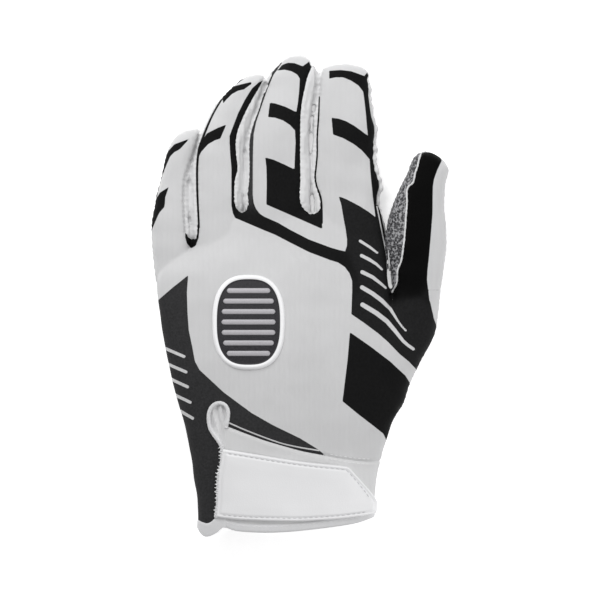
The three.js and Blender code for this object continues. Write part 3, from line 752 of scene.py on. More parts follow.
def shade(obj, sharp_degrees=38.0):
    obj.data.polygons.foreach_set("use_smooth", [True] * len(obj.data.polygons))
    obj.data.set_sharp_from_angle(angle=math.radians(sharp_degrees))


def grow_tree(obj):
    p = get_points(obj)
    return BVHTree.FromPolygons([tuple(v) for v in p], [tuple(f.vertices) for f in obj.data.polygons])


class Pile:
    """Many small meshes gathered into one."""

    def __init__(self):
        self.verts, self.faces, self.count = [], [], 0

    def add(self, verts, faces):
        self.verts.append(np.asarray(verts, float))
        self.faces += [tuple(self.count + i for i in f) for f in faces]
        self.count += len(verts)

    def make(self, name, sharp_degrees=60.0):
        obj = new_object(name, np.vstack(self.verts), self.faces)
        shade(obj, sharp_degrees)
        return obj


def swept(points, normals, section, scales):
    """Verts and faces of a section of (side, up) offsets carried along a line with given up directions."""
    points = np.asarray(points, float)
    way = directions(points)
    side = np.cross(way, normals)
    side /= np.linalg.norm(side, axis=1)[:, None]
    up = np.cross(side, way)
    section = np.asarray(section, float)
    verts = (
        points[:, None]
        + side[:, None] * (section[None, :, :1] * scales[:, None, :1])
        + up[:, None] * (section[None, :, 1:] * scales[:, None, 1:])
    )
    return verts.reshape(-1, 3), tube_faces(len(points), len(section))


def oval(width, height, sides=10, power=2.0, lift=0.0):
    """A closed section, `width` across and `height` tall, as (side, up) offsets."""
    out = []
    for i in range(sides):
        angle = 2 * math.pi * (i + 0.5) / sides
        c, s = math.cos(angle), math.sin(angle)
        out.append((
            width / 2 * math.copysign(abs(c) ** (2 / power), c),
            lift + height / 2 * math.copysign(abs(s) ** (2 / power), s),
        ))
    return out


# The forms of the hand and the fingers.

hand_bottom = -ORIGIN_ALONG * HAND_LENGTH


def hand_at(y):
    along = (y - hand_bottom) / HAND_LENGTH
    s = HAND_SECTIONS
    return (
        read(s["along"], s["left"], along) * HAND_WIDTH,
        read(s["along"], s["right"], along) * HAND_WIDTH,
        read(s["along"], s["height"], along) * HAND_HEIGHT,
    )


def gap_edge(key, side, y, edge):
    """Moves a finger's edge to the line of the gap beside it, where there is one."""
    row = down_photo(y)
    for (left, right), gap in FINGER_GAPS_PX.items():
        if key != (left if side == "right" else right):
            continue
        if row < gap["down"][0]:
            continue
        turn = -1 if side == "right" else 1
        middle = read(gap["down"], gap["across"], row)
        half = read(gap["down"], gap["open"], row) / 2
        return plan((middle + turn * half, 0))[0]
    return edge


def outer_edge(key, side, y, edge):
    """Moves a finger's outer edge to the photograph's, where that is given."""
    row = down_photo(y)
    line = FINGER_EDGES_PX.get((key, side))
    if line is None or not line["down"][0] <= row <= line["down"][-1]:
        return edge
    return plan((read(line["down"], line["across"], row), 0))[0]


def finger_at(key, y):
    finger = FINGERS[key]
    along = (y - hand_bottom - finger["root"][1] * HAND_LENGTH) / finger["length"]
    centre = finger["root"][0] * HAND_WIDTH + read(finger["along"], finger["shift"], along) * finger["width"]
    half = read(finger["along"], finger["wide"], along) * finger["width"] / 2
    left = gap_edge(key, "left", y, outer_edge(key, "left", y, centre - half))
    right = gap_edge(key, "right", y, outer_edge(key, "right", y, centre + half))
    return left, right, read(finger["along"], finger["high"], along) * finger["height"]


def limb(name, at, bottom, length, tip, inset, overrun=0.0, swell=0.0):
    """The closed form of one limb, with its surface moved inwards by `inset`."""
    tip_length, tip_power = tip
    start = bottom - overrun
    shoulder = bottom + length - max(tip_length, inset)
    reach = max(tip_length, inset) - inset
    count = max(4, int((shoulder - start) / LIMB_STEP))
    levels = []
    for i in range(count + 1):
        run = (shoulder - start) * i / count
        # A finger swells out of the hand instead of starting at a flat end.
        grown = math.sqrt(1 - (1 - min(1, run / swell)) ** 2) if swell else 1.0
        levels.append((start + run, max(grown, 0.12)))
    if tip_length > 0:
        power = 2 / tip_power
        for i in range(1, TIP_RINGS + 1):
            # The last ring stops just short of a point.
            angle = 0.985 * math.pi / 2 * i / TIP_RINGS
            levels.append((shoulder + reach * math.sin(angle) ** power, math.cos(angle) ** power))
    angles = 2 * np.pi * (np.arange(LIMB_SIDES) + 0.5) / LIMB_SIDES
    c, s = np.cos(angles), np.sin(angles)
    across = np.sign(c) * np.abs(c) ** (2 / ROUNDNESS)
    up = np.sign(s) * np.abs(s) ** (2 / ROUNDNESS)
    rings = []
    for y, close in levels:
        left, right, top = at(y)
        half_width = ((right - left) / 2 - inset) * close
        half_height = ((top + REST_SINK) / 2 - inset) * close
        x = (left + right) / 2 + half_width * across
        z = (top - REST_SINK) / 2 + half_height * up
        rings.append(np.stack([x, np.full(LIMB_SIDES, y), z], axis=1)[::-1])
    return loft(name, rings)


def glove_form(name, inset, voxel, overrun):
    """The hand with its fingers as one closed form."""
    parts = [limb(name + "_hand", hand_at, hand_bottom, HAND_LENGTH, (0.0, 2.0), inset, overrun)]
    for key, finger in FINGERS.items():
        bottom = hand_bottom + finger["root"][1] * HAND_LENGTH
        swell = 0.0 if key == "thumb" else ROOT_SWELL
        length = finger["length"] + swell / 2
        parts.append(limb(
            f"{name}_{key}", lambda y, k=key: finger_at(k, y), bottom - swell / 2, length, finger["tip"],
            inset, swell=swell,
        ))
    return remeshed(joined(name, parts), voxel)


def seam_profile(distance, depth, width):
    """A sewn seam: a narrow dip with the cloth standing a little proud beside it."""
    dip = np.exp(-((distance / width) ** 2))
    shoulder = np.exp(-(((distance - 2.4 * width) / (1.3 * width)) ** 2))
    return -depth * dip + 0.3 * depth * shoulder


def gathers(run, length, seed):
    """The uneven wave of a gathered seam, from -1 to 1."""
    return np.sin(TAU * run / length + 1.1 * np.sin(TAU * run / (length * 3.7) + seed))


def puckers(run, distance, height, length, reach, seed):
    """Small gathers across a seam, which die away from it."""
    return height * gathers(run, length, seed) * np.exp(-((distance / reach) ** 2))


def scalloped(line, height, length, seed):
    """A line with the small waves of a gathered seam, straight again at its ends."""
    way = directions(line)
    run = length_along(line)
    ease = np.clip(np.minimum(run, run[-1] - run) / 4, 0, 1)
    # The gathers are strongest where the fingers part.
    crotch = line[:, 1].min()
    ease *= 0.35 + 0.65 * np.exp(-(((line[:, 1] - crotch) / 14) ** 2))
    ease *= 0.75 + 0.5 * np.sin(run * 0.9 + seed)
    offset = height * ease * gathers(run, length, seed)
    return line + np.stack([way[:, 1], -way[:, 0]], axis=1) * offset[:, None]


fourchette_lines = {
    name: scalloped(curve(plan_all(line), 0.5), SCALLOP, SCALLOP_LENGTH, k)
    for k, (name, line) in enumerate(FOURCHETTE_PX.items())
}
grip_line = curve(plan_all(GRIP_EDGE_PX), 0.8)
cuff_line = curve(plan_all(CUFF_SEAM_PX), 1.2)
hem_line = curve(plan_all(HEM_PX), 1.2)
slit_line = curve(plan_all(SLIT_PX), 0.7)


def shape_skin(skin):
    """Seams, gathers and soft swells of the cloth."""
    p = get_points(skin)
    n = get_normals(skin)
    move = np.zeros(len(p))
    upper = p[:, 2] > FOURCHETTE_LOW
    for k, line in enumerate(fourchette_lines.values()):
        near = Along(p, line, reach=6)
        d = near.distance
        move += np.where(upper, seam_profile(d, 0.55, 0.75) + puckers(near.run, d, 0.18, 2.6, 2.2, k), 0)
        within = inside(p, line) & upper
        folds = 0.22 * waves(p * [1, 0.16, 1], 3.4, 30 + k) + 0.12 * waves(p * [1, 0.6, 1], 3.2, 40 + k)
        move += np.where(within, folds, 0)
    near = Along(p, grip_line, reach=6)
    thumb_top = (p[:, 2] > SEAM_HEIGHT) & (p[:, 1] > 0)
    seam = seam_profile(near.distance, 0.5, 0.7) + puckers(near.run, near.distance, 0.14, 3.4, 2.2, 7)
    move += np.where(thumb_top, seam, 0)
    near = Along(p, cuff_line, reach=6)
    seam = seam_profile(near.distance, 0.45, 0.7) + puckers(near.run, near.distance, 0.06, 3.0, 2.0, 3)
    move += np.where(p[:, 2] > SEAM_HEIGHT, seam, 0)
    # The side seam between back and palm.
    off = np.abs(p[:, 2] - SEAM_HEIGHT)
    steep = np.clip(1.4 - 1.6 * np.abs(n[:, 2]), 0, 1)
    run = p[:, 1] + 0.6 * p[:, 0]
    move += steep * (seam_profile(off, 0.5, 0.6) + puckers(run, off, 0.15, 3.3, 2.6, 5))
    # Soft swells of cloth that nothing fills.
    calm = 0.55 + 0.45 * np.clip((p[:, 1] + 20) / 60, 0, 1)
    move += calm * (0.42 * waves(p, 34.0, 1) + 0.16 * waves(p, 13.0, 2)) * np.clip(p[:, 2] / 4, 0, 1)
    p += n * move[:, None]
    p[:, 2] = np.maximum(p[:, 2], 0.0)
    set_points(skin, p)


def make_skin():
    skin = glove_form("skin", 0.0, SKIN_VOXEL, SKIN_OVERRUN)
    smoothed(skin, SKIN_SMOOTHING)
    p = get_points(skin)
    p[:, 2] = np.maximum(p[:, 2], 0.0)
    set_points(skin, p)
    return skin


def make_lining():
    lining = glove_form("lining", WALL + 0.3, LINING_VOXEL, LINING_OVERRUN)
    smoothed(lining, LINING_SMOOTHING)
    p = get_points(lining)
    p[:, 2] = np.maximum(p[:, 2], WALL)
    set_points(lining, p)
    return lining


skin = make_skin()
form_tree = grow_tree(skin)
shape_skin(skin)
skin_tree = grow_tree(skin)


def on_surface(tree, x, y, lift=0.0):
    """The upper point of a surface over a plan point, raised by `lift`, and the normal there."""
    hit, normal, _, _ = tree.ray_cast(Vector((x, y, 70.0)), Vector((0, 0, -1)))
    if hit is None:
        hit, normal, _, _ = tree.find_nearest(Vector((x, y, SEAM_HEIGHT)))
    return np.array(hit + normal * lift), np.array(normal)


def draped(line, tree, lift=0.0, rounds=3):
    """A plan line laid on a surface: its points and evened normals."""
    points, normals = zip(*(on_surface(tree, x, y, lift) for x, y in line))
    points, normals = np.array(points), np.array(normals)
    for _ in range(rounds):
        normals[1:-1] = (normals[:-2] + 2 * normals[1:-1] + normals[2:]) / 4
        points[1:-1, 2] = (points[:-2, 2] + 2 * points[1:-1, 2] + points[2:, 2]) / 4
    return points, normals / np.linalg.norm(normals, axis=1)[:, None]


# The panels, cut from the skin.

FAR = 200.0


def box_outline(left, bottom, right, top):
    return [(left, bottom), (right, bottom), (right, top), (left, top)]


def below_line(line):
    return [(-FAR, line[0][1]), *[tuple(p) for p in line], (FAR, line[-1][1]), (FAR, -FAR), (-FAR, -FAR)]


slit_outline = np.vstack([slit_line, plan_all(SLIT_FOOT_PX)])
cap_line = curve(plan_all(FLAP_CAP_PX), 0.8)
cap_outline = np.vstack([cap_line, plan_all(CAP_FOOT_PX)])


def cut_panels():
    shell = copy_object(skin, "shell")
    boolean(shell, make_lining(), "DIFFERENCE")
    boolean(shell, prism("hem_cut", below_line(hem_line)), "DIFFERENCE")
    panels = {}

    def split(name, block):
        """Takes the part of the shell in a block out of it, as a panel of its own."""
        panel = copy_object(shell, name)
        boolean(panel, block, "INTERSECT", keep_cutter=True)
        boolean(shell, block, "DIFFERENCE")
        panels[name] = panel

    for name, line in fourchette_lines.items():
        split(name, prism(name + "_block", line, FOURCHETTE_LOW))
    split("thumb_grip", prism("grip_block", np.vstack([grip_line, plan_all(GRIP_FAR_PX)])))
    split("flap_cap", prism("cap_block", cap_outline, SEAM_HEIGHT))
    split("slit_gusset", prism("slit_block", slit_outline, SEAM_HEIGHT))
    edge = plan((CUFF_LEFT_PX, 0))[0]
    seam = [p for p in cuff_line if p[0] > edge]
    block = prism("cuff_block", [(edge, seam[0][1]), *seam, (FAR, seam[-1][1]), (FAR, -FAR), (edge, -FAR)], 0)
    palm_edge = hand_bottom + PALM_CUFF_ALONG * HAND_LENGTH
    low = prism("low_block", box_outline(-FAR, -FAR, FAR, palm_edge), -10, SEAM_HEIGHT)
    split("cuff_band", boolean(block, low, "UNION"))
    split("palm_panel", prism("palm_block", box_outline(-FAR, -FAR, FAR, FAR), -10, SEAM_HEIGHT))
    panels["back_panel"] = shell
    return panels


panels = cut_panels()

OUTER_REACH = 0.35


def outer_share(p, tree):
    """1 for points on the outer skin, 0 for those of the lining and the cut edges."""
    share = np.zeros(len(p))
    for i, q in enumerate(p):
        _, _, _, d = tree.find_nearest(Vector(q), 1.0)
        share[i] = 1.0 if d is not None and d < OUTER_REACH else 0.0
    return share


def print_fields(p):
    """The ink's tone, print and painted light together, and signed distances of the print: shapes less
    slashes, ink lines and bare lines.
    """
    ink = np.full(len(p), 9.0)
    tone = np.zeros(len(p))
    total = np.zeros(len(p))
    for name, outline in PRINT_PX.items():
        distance = shape_distance(p, plan_all(outline))
        ink = np.minimum(ink, distance)
        # Where two shapes run into each other, their tones blend.
        weight = np.exp(-np.clip(distance, -8, 8) / INK_BLEND)
        tone += weight * INK_TONES_AND_PAINTED_LIGHT.get(name, INK_TONE)
        total += weight
    for slash in SLASHES_PX:
        line = np.array([(*plan(q[:2]), q[2] / PIXELS_PER_MM) for q in slash])
        near = Along(p, line[:, :2], widths=line[:, 2], reach=4)
        ink = np.maximum(ink, near.width / 2 - near.distance)

    def fine(lines):
        across = np.full(len(p), 9.0)
        half = np.full(len(p), -1.0)
        for line in lines:
            q = curve(np.array([(*plan(r[:2]), r[2] / PIXELS_PER_MM) for r in line]), 0.8)
            near = Along(p, q[:, :2], widths=q[:, 2], reach=4)
            nearer = near.distance < np.abs(across)
            across[nearer] = near.signed[nearer]
            drawn = nearer & ~near.beyond & (near.distance < 2.5)
            half[nearer] = np.where(drawn[nearer], near.width[nearer] / 2, -1.0)
        return across, half

    return tone / total, ink, *fine(INK_LINES_PX), *fine(BARE_LINES_PX)


def finish_back(panel):
    p = get_points(panel)
    outer = outer_share(p, skin_tree)
    tone, ink, ink_across, ink_half, bare_across, bare_half = print_fields(p)
    ink = np.where(outer > 0, ink, 9.0)
    set_value(panel, "ink", np.clip(ink, -9, 9))
    set_value(panel, "ink_across", np.clip(ink_across, -9, 9))
    set_value(panel, "ink_half", np.where(outer > 0, ink_half, -1.0))
    set_value(panel, "bare_across", np.clip(bare_across, -9, 9))
    set_value(panel, "bare_half", bare_half)
    set_value(panel, "tone", tone)


finish_back(panels["back_panel"])


def finish_palm(panel):
    """The coating covers the palm side; the cloth above it and inside is bare."""
    p = get_points(panel)
    outer = outer_share(p, skin_tree)
    edge = GRIP_HEIGHT + 0.15 * waves(p, 9.0, 21) - p[:, 2]
    set_value(panel, "coat", np.where(outer > 0, np.clip(edge, -2, 2), -2.0))


finish_palm(panels["palm_panel"])


def finish_gusset(panel):
    """The loose cloth in the slit lies deeper than the rim, in creases that run down it."""
    p = get_points(panel)
    top = plan(SLIT_TOP_PX)
    across = p[:, 0] - top[0] - 0.12 * (top[1] - p[:, 1])
    rim = Along(p, slit_outline, closed=True, reach=6).distance
    crease = 0.55 * np.sin(across * 1.7 + 0.8 * np.sin(p[:, 1] * 0.4))
    crease += 0.2 * np.sin(across * 4.1 + p[:, 1] * 0.5)
    p[:, 2] += -0.9 * np.clip(rim / 1.5, 0, 1) + crease * np.clip(rim / 1.2, 0, 1)
    set_points(panel, p)


finish_gusset(panels["slit_gusset"])


def inflated(panel, height, line, edge=0.8):
    """Lifts a panel off the skin, with its border rounded down."""
    p = get_points(panel)
    n = get_normals(panel)
    d = Along(p, line, reach=20).distance
    p += n * (height * rounded(d / edge))[:, None]
    p[:, 2] = np.maximum(p[:, 2], 0.0)
    set_points(panel, p)


inflated(panels["flap_cap"], 0.45, cap_line)

for name, panel in panels.items():
    panel.name = name
    shade(panel)


# Sewn-on pieces.

# The rows of stitches: from one stitch's start to the next one's, a stitch's length, and its thread.
STRAP_STITCHES = {"pitch": 2.7, "length": 1.8, "thickness": 0.42}
HEM_STITCHES = {"pitch": 2.7, "length": 1.8, "thickness": 0.3}
CUFF_STITCHES = {"pitch": 2.4, "length": 1.6, "thickness": 0.3}
CUFF_STITCH_INSETS = (-1.3, 1.2)
HEM_STITCH_OFFSET = 0.9

# The strap's grid, the distance from its edge to its stitches, and the rounding of its edge.
STRAP_COLUMNS = 170
STRAP_ROWS = 74
STRAP_STITCH_INSET = 1.7
STRAP_EDGE = 0.9

# The share of the slit's rim after which its overlocked edge starts, and the pitch and step of its thread.
OVERLOCK_START = 0.52
ZIGZAG_PITCH = 0.9
ZIGZAG_STEP = 0.2

# The middle of the wrist's mouth, across and up.
MOUTH_CENTRE = (-7.0, 11.0)

RIM_STEP = 0.45
WELT_STEP = 0.5
RUFFLE_STEP = 0.35


def stitch(pile, start, end, normal, thickness):
    """One stitch of thread: a short rounded bow from hole to hole."""
    count = 5
    t = np.linspace(0, 1, count)
    bow = np.sin(np.pi * t)
    rise = (bow * 0.16 - 0.06)[:, None]
    line = start[None] * (1 - t[:, None]) + end[None] * t[:, None] + normal[None] * rise
    scale = np.stack([0.45 + 0.55 * bow, 0.45 + 0.55 * bow], axis=1)
    pile.add(*swept(line, np.tile(normal, (count, 1)), oval(thickness, thickness, 6), scale))


def place_at(run, points, at):
    """The point that lies `at` along a line whose own points lie `run` along it."""
    return np.array([np.interp(at, run, points[:, k]) for k in range(3)])


def stitch_row(pile, line, tree, lift, pitch, length, thickness):
    """A row of topstitches along a plan line."""
    points, normals = draped(resampled(line, 0.5), tree, lift)
    run = length_along(points)
    at = pitch / 2
    while at + length < run[-1]:
        normal = normals[int(np.searchsorted(run, at + length / 2))]
        stitch(pile, place_at(run, points, at), place_at(run, points, at + length), normal, thickness)
        at += pitch


def inset_line(line, distance):
    """An open plan line moved to its right by a distance."""
    way = directions(line)
    return line + np.stack([way[:, 1], -way[:, 0]], axis=1) * distance


def patchwork(left, right, top, bottom, columns, rows):
    """A plan grid between four border lines, row by row from the bottom."""
    left, right = resampled_to(left, rows), resampled_to(right, rows)
    top, bottom = resampled_to(top, columns), resampled_to(bottom, columns)
    s = np.linspace(0, 1, columns)[None, :, None]
    t = np.linspace(0, 1, rows)[:, None, None]
    return (
        (1 - t) * bottom[None] + t * top[None] + (1 - s) * left[:, None] + s * right[:, None]
        - (1 - s) * (1 - t) * bottom[0] - s * (1 - t) * bottom[-1] - (1 - s) * t * top[0] - s * t * top[-1]
    )


def plate(name, grid, tree, lift, thickness, border, edge, shape):
    """A soft plate over a plan grid: rounded at its border, with a shape of its upper side."""
    rows, columns = grid.shape[:2]
    flat = grid.reshape(-1, 2)
    base, normals = zip(*(on_surface(tree, x, y, lift) for x, y in flat))
    base, normals = np.array(base), np.array(normals)
    # The plate bridges small dips of what it lies on.
    height = base[:, 2].reshape(rows, columns)
    for _ in range(12):
        height[1:-1, 1:-1] = (height[:-2, 1:-1] + height[2:, 1:-1] + height[1:-1, :-2] + height[1:-1, 2:]) / 4
    base[:, 2] = height.ravel()
    d = Along(flat, border, closed=True).distance
    rise = thickness * rounded(d / edge) + shape(flat, d)
    upper = base + normals * (rise + 0.25)[:, None]
    lower = base - normals * 0.25
    verts = np.vstack([upper, lower])
    count = rows * columns
    faces = []
    for r in range(rows - 1):
        for c in range(columns - 1):
            a, b = r * columns + c, r * columns + c + 1
            e, f = a + columns, b + columns
            faces.append((a, b, f, e))
            faces.append((count + a, count + e, count + f, count + b))
    rim = list(range(columns))
    rim += [r * columns + columns - 1 for r in range(1, rows)]
    rim += [(rows - 1) * columns + c for c in range(columns - 2, -1, -1)]
    rim += [r * columns for r in range(rows - 2, 0, -1)]
    for a, b in zip(rim, rim[1:] + rim[:1]):
        faces.append((b, a, count + a, count + b))
    obj = new_object(name, verts, faces)
    shade(obj, 60)
    return obj


strap_sides = {key: curve(plan_all(line), 0.8) for key, line in STRAP_PX.items()}
strap_border = np.vstack([
    strap_sides["left"][:-1],
    strap_sides["bottom"][:-1],
    strap_sides["right"][::-1][:-1],
    strap_sides["top"][::-1][:-1],
])


def strap_shape(flat, d):
    """The topstitched margin: a groove, with the middle a little fuller than the edge."""
    groove = -0.42 * np.exp(-(((d - STRAP_STITCH_INSET) / 0.5) ** 2))
    full = 0.25 * np.clip((d - STRAP_STITCH_INSET) / 5, 0, 1) ** 0.6
    p = np.c_[flat, np.zeros(len(flat))]
    return groove + full + 0.10 * waves(p, 17.0, 11)


def make_strap():
    sides = strap_sides
    grid = patchwork(
        sides["left"][::-1], sides["right"][::-1], sides["top"], sides["bottom"], STRAP_COLUMNS, STRAP_ROWS
    )
    return plate(
        "wrist_strap", grid, form_tree, STRAP_LIFT, STRAP_THICKNESS, strap_border, STRAP_EDGE, strap_shape
    )


strap = make_strap()
strap_tree = grow_tree(strap)


def make_strap_stitches():
    pile = Pile()
    top = inset_line(strap_sides["top"], STRAP_STITCH_INSET)
    bottom = inset_line(strap_sides["bottom"][::-1], STRAP_STITCH_INSET)[::-1]
    for line in (top[2:-3], bottom[2:-3]):
        stitch_row(pile, line, strap_tree, 0.10, **STRAP_STITCHES)
    return pile.make("strap_stitches")


def make_zigzag():
    """The overlocked edge of the flap: threads that cross its binding, uneven as sewn cloth is."""
    rng = np.random.default_rng(5)
    pile = Pile()
    line = resampled(slit_line[int(len(slit_line) * OVERLOCK_START) :], ZIGZAG_STEP)
    points, normals = draped(line, skin_tree, 0.9)
    side = np.cross(directions(points), normals)
    run = np.arange(len(points)) * ZIGZAG_STEP
    at, flip = 1.0, 1
    while at < run[-1] - 1.0:
        i = int(at / ZIGZAG_STEP)
        j = min(int((at + ZIGZAG_PITCH) / ZIGZAG_STEP), len(points) - 1)
        wide = 1.4 + rng.uniform(-0.55, 0.45)
        start = points[i] - side[i] * flip * wide + normals[i] * rng.uniform(-0.1, 0.2)
        end = points[j] + side[j] * flip * wide + normals[j] * rng.uniform(-0.1, 0.2)
        stitch(pile, start, end, normals[i], rng.uniform(0.4, 0.7))
        at += ZIGZAG_PITCH + rng.uniform(-0.25, 0.35)
        flip = -flip
    return pile.make("flap_stitches")


def make_slit_rim():
    """The folded elastic that binds the slit, down to the hem."""
    pile = Pile()
    points, normals = draped(resampled(slit_line, RIM_STEP), skin_tree, 0.1)
    run = np.arange(len(points)) * RIM_STEP
    share = run / run[-1]
    loose = np.clip((share - 0.5) / 0.1, 0, 1)
    rough = 0.10 * np.sin(run * 2.9) + 0.08 * np.sin(run * 5.3 + 1)
    ripple = 1 + loose * rough + (1 - loose) * 0.04 * np.sin(run * 3.5)
    scales = np.stack([ripple, 1 + 0.6 * (ripple - 1)], axis=1)
    pile.add(*swept(points, normals, oval(1.9, 1.7, 12, 2.3, 0.1), scales))
    return pile.make("slit_binding")


def make_hem():
    """The doubled band round the mouth, open where the slit comes down."""
    slit_right = plan((HEM_LEFT_PX, 0))[0]
    hem_x = hem_line[:, 0]
    order = np.argsort(hem_x)

    def hem_y(x):
        return float(np.interp(x, hem_x[order], hem_line[order, 1]))

    centre_x, centre_z = MOUTH_CENTRE
    angles = np.radians(np.linspace(170, -200, 371))
    points, normals = [], []
    for angle in angles:
        way = Vector((math.cos(angle), 0, math.sin(angle)))
        y = hem_y(centre_x)
        for _ in range(4):
            hit, normal, _, _ = form_tree.ray_cast(Vector((centre_x, y + HEM_WIDTH / 2, centre_z)), way)
            y = hem_y(hit.x)
        if angle > math.pi / 2 and hit.x < slit_right:
            continue
        if angle < -math.pi * 0.9 and hit.z > SEAM_HEIGHT:
            continue
        points.append((hit.x, y + HEM_WIDTH / 2, hit.z))
        normals.append(normal)
    points, normals = np.array(points), np.array(normals)
    normals[:, 1] = 0
    for _ in range(6):
        normals[1:-1] = (normals[:-2] + 2 * normals[1:-1] + normals[2:]) / 4
    normals /= np.linalg.norm(normals, axis=1)[:, None]
    points -= normals * WALL / 2
    points[:, 2] = np.maximum(points[:, 2], HEM_THICKNESS / 2)
    pile = Pile()
    section = oval(HEM_WIDTH, HEM_THICKNESS, 20, 3.6)
    run = length_along(points)
    wave = 1 + 0.03 * np.sin(run * 1.3)
    pile.add(*swept(points, normals, section, np.stack([np.ones(len(points)), wave], axis=1)))
    hem = pile.make("hem_binding", 50)
    seams = Pile()
    upper = points + normals * (HEM_THICKNESS / 2 - 0.02)
    row = upper + np.array([0, HEM_STITCH_OFFSET, 0])
    length = HEM_STITCHES["length"]
    at = 1.5
    while at + length < run[-1]:
        start = place_at(run, row, at)
        # No stitch lies under the palm.
        if start[2] > 3:
            normal = normals[int(np.searchsorted(run, at + length / 2))]
            stitch(seams, start, place_at(run, row, at + length), normal, HEM_STITCHES["thickness"])
        at += HEM_STITCHES["pitch"]
    return hem, seams.make("hem_stitches")


def make_cuff_stitches():
    pile = Pile()
    seam = resampled(cuff_line, 0.5)
    left, right = (plan((x, 0))[0] for x in CUFF_STITCHES_PX)
    seam = seam[(seam[:, 0] > left) & (seam[:, 0] < right)]
    for inset in CUFF_STITCH_INSETS:
        stitch_row(pile, inset_line(seam, inset), skin_tree, 0.05, **CUFF_STITCHES)
    return pile.make("cuff_stitches")


def make_thumb_welt():
    """The white turned edge between the thumb's back and its grip, and the fold in the crotch."""
    pile = Pile()
    points, normals = draped(resampled(grip_line[3:-1], WELT_STEP), skin_tree, 0.1)
    run = np.arange(len(points)) * WELT_STEP
    thick = 1 + 0.12 * np.sin(run * 1.9) + 0.1 * np.sin(run * 3.3)
    pile.add(*swept(points, normals, oval(0.95, 1.0, 8), np.stack([thick, thick], axis=1)))
    fold = resampled(curve(plan_all(CROTCH_FOLD_PX), WELT_STEP), WELT_STEP)
    points, normals = draped(fold, skin_tree, 0.0, 12)
    run = np.linspace(0, 1, len(points))
    thick = np.sqrt(np.clip(np.sin(math.pi * run), 0.05, 1))
    pile.add(*swept(points, normals, oval(1.5, 1.2, 10), np.stack([thick, thick], axis=1)))
    return pile.make("thumb_welt")


def make_index_ruffle():
    """The puckered seam allowance that stands out along the index finger."""
    pile = Pile()
    points, normals = [], []
    low, high = (plan((0, row))[1] for row in RUFFLE_ROWS_PX)
    for y in np.arange(low, high, RUFFLE_STEP):
        _, right, _ = finger_at("index", y)
        points.append((right, y, SEAM_HEIGHT + 0.4))
        normals.append((0.25, 0, 1))
    points, normals = np.array(points), np.array(normals)
    run = np.arange(len(points)) * RUFFLE_STEP
    points[:, 2] += 0.45 * np.sin(run * 1.25 + 0.9 * np.sin(run * 0.37))
    points[:, 0] += 0.25 + 0.22 * np.sin(run * 0.62 + 1.0) + 0.14 * np.sin(run * 1.7)
    taper = np.clip(np.minimum(run, run[-1] - run) / 5, 0.05, 1)
    wide = taper * (1 + 0.2 * np.sin(run * 1.25))
    pile.add(*swept(points, normals, oval(2.2, 0.9, 12, 2.2), np.stack([wide, 0.4 + 0.6 * taper], axis=1)))
    return pile.make("index_ruffle")


def make_patch():
    """A plain oval badge: a raised rim round a field with blank ribs."""
    cx, cy = plan(PATCH_CENTRE_PX)
    rings, sides = 44, 200
    power = 2 / PATCH_POWER
    angles = 2 * np.pi * np.arange(sides) / sides
    c, s = np.cos(angles), np.sin(angles)
    unit = np.stack([np.sign(c) * np.abs(c) ** power, np.sign(s) * np.abs(s) ** power], axis=1)
    radii = np.array([PATCH_WIDTH / 2, PATCH_LENGTH / 2])
    outline = unit * radii + (cx, cy)
    share = np.linspace(0, 1, rings + 1)[1:]
    flat = np.vstack([[(cx, cy)]] + [unit * radii * r + (cx, cy) for r in share])
    base, normals = zip(*(on_surface(form_tree, x, y, 0.05) for x, y in flat))
    base, normals = np.array(base), np.array(normals)
    d = Along(flat, outline, closed=True).distance
    d[-sides:] = 0.0
    rim = np.exp(-(((d - 1.5) / 0.75) ** 4))
    rise = rounded(d / 0.8) * 0.8 + 0.5 * rim - 0.25 * np.clip((d - 2.2) / 0.5, 0, 1)
    upper = base + normals * rise[:, None]
    lower = base[-sides:] - normals[-sides:] * 0.3
    verts = np.vstack([upper, lower])
    faces = [(0, 1 + i, 1 + (i + 1) % sides) for i in range(sides)]
    for r in range(rings - 1):
        for i in range(sides):
            j = (i + 1) % sides
            a, b = 1 + r * sides, 1 + (r + 1) * sides
            faces.append((a + i, b + i, b + j, a + j))
    a, b = 1 + (rings - 1) * sides, 1 + rings * sides
    for i in range(sides):
        j = (i + 1) % sides
        faces.append((a + i, b + i, b + j, a + j))
    faces.append(tuple(b + i for i in range(sides))[::-1])
    obj = new_object("back_patch", verts, faces)
    field = d - 2.35
    set_value(obj, "field", np.concatenate([field, np.full(sides, -3.0)]))
    shade(obj, 50)
    # The ribs lie across the field, each rounded at its ends.
    pile = Pile()
    steps = 60
    for y in np.linspace(-0.66, 0.66, 7):
        half = PATCH_WIDTH / 2 * (1 - abs(y) ** PATCH_POWER) ** (1 / PATCH_POWER) - 4.6
        x = np.linspace(-half, half, steps)
        line = np.stack([x, np.full(steps, y * PATCH_LENGTH / 2)], axis=1) + (cx, cy)
        points, up = draped(line, form_tree, 0.55, 6)
        run = np.linspace(0, 2 * half, steps)
        end = rounded(np.clip(np.minimum(run, 2 * half - run) / 1.3, 0.02, 1))
        pile.add(*swept(points, up, oval(2.6, 1.3, 14, 2.6), np.stack([end, 0.3 + 0.7 * end], axis=1)))
    ribs = pile.make("patch_ribs")
    return obj, ribs


strap_stitches = make_strap_stitches()
flap_stitches = make_zigzag()
slit_rim = make_slit_rim()
hem, hem_stitches = make_hem()
cuff_stitches = make_cuff_stitches()
thumb_welt = make_thumb_welt()
index_ruffle = make_index_ruffle()
patch, patch_ribs = make_patch()


# Materials.


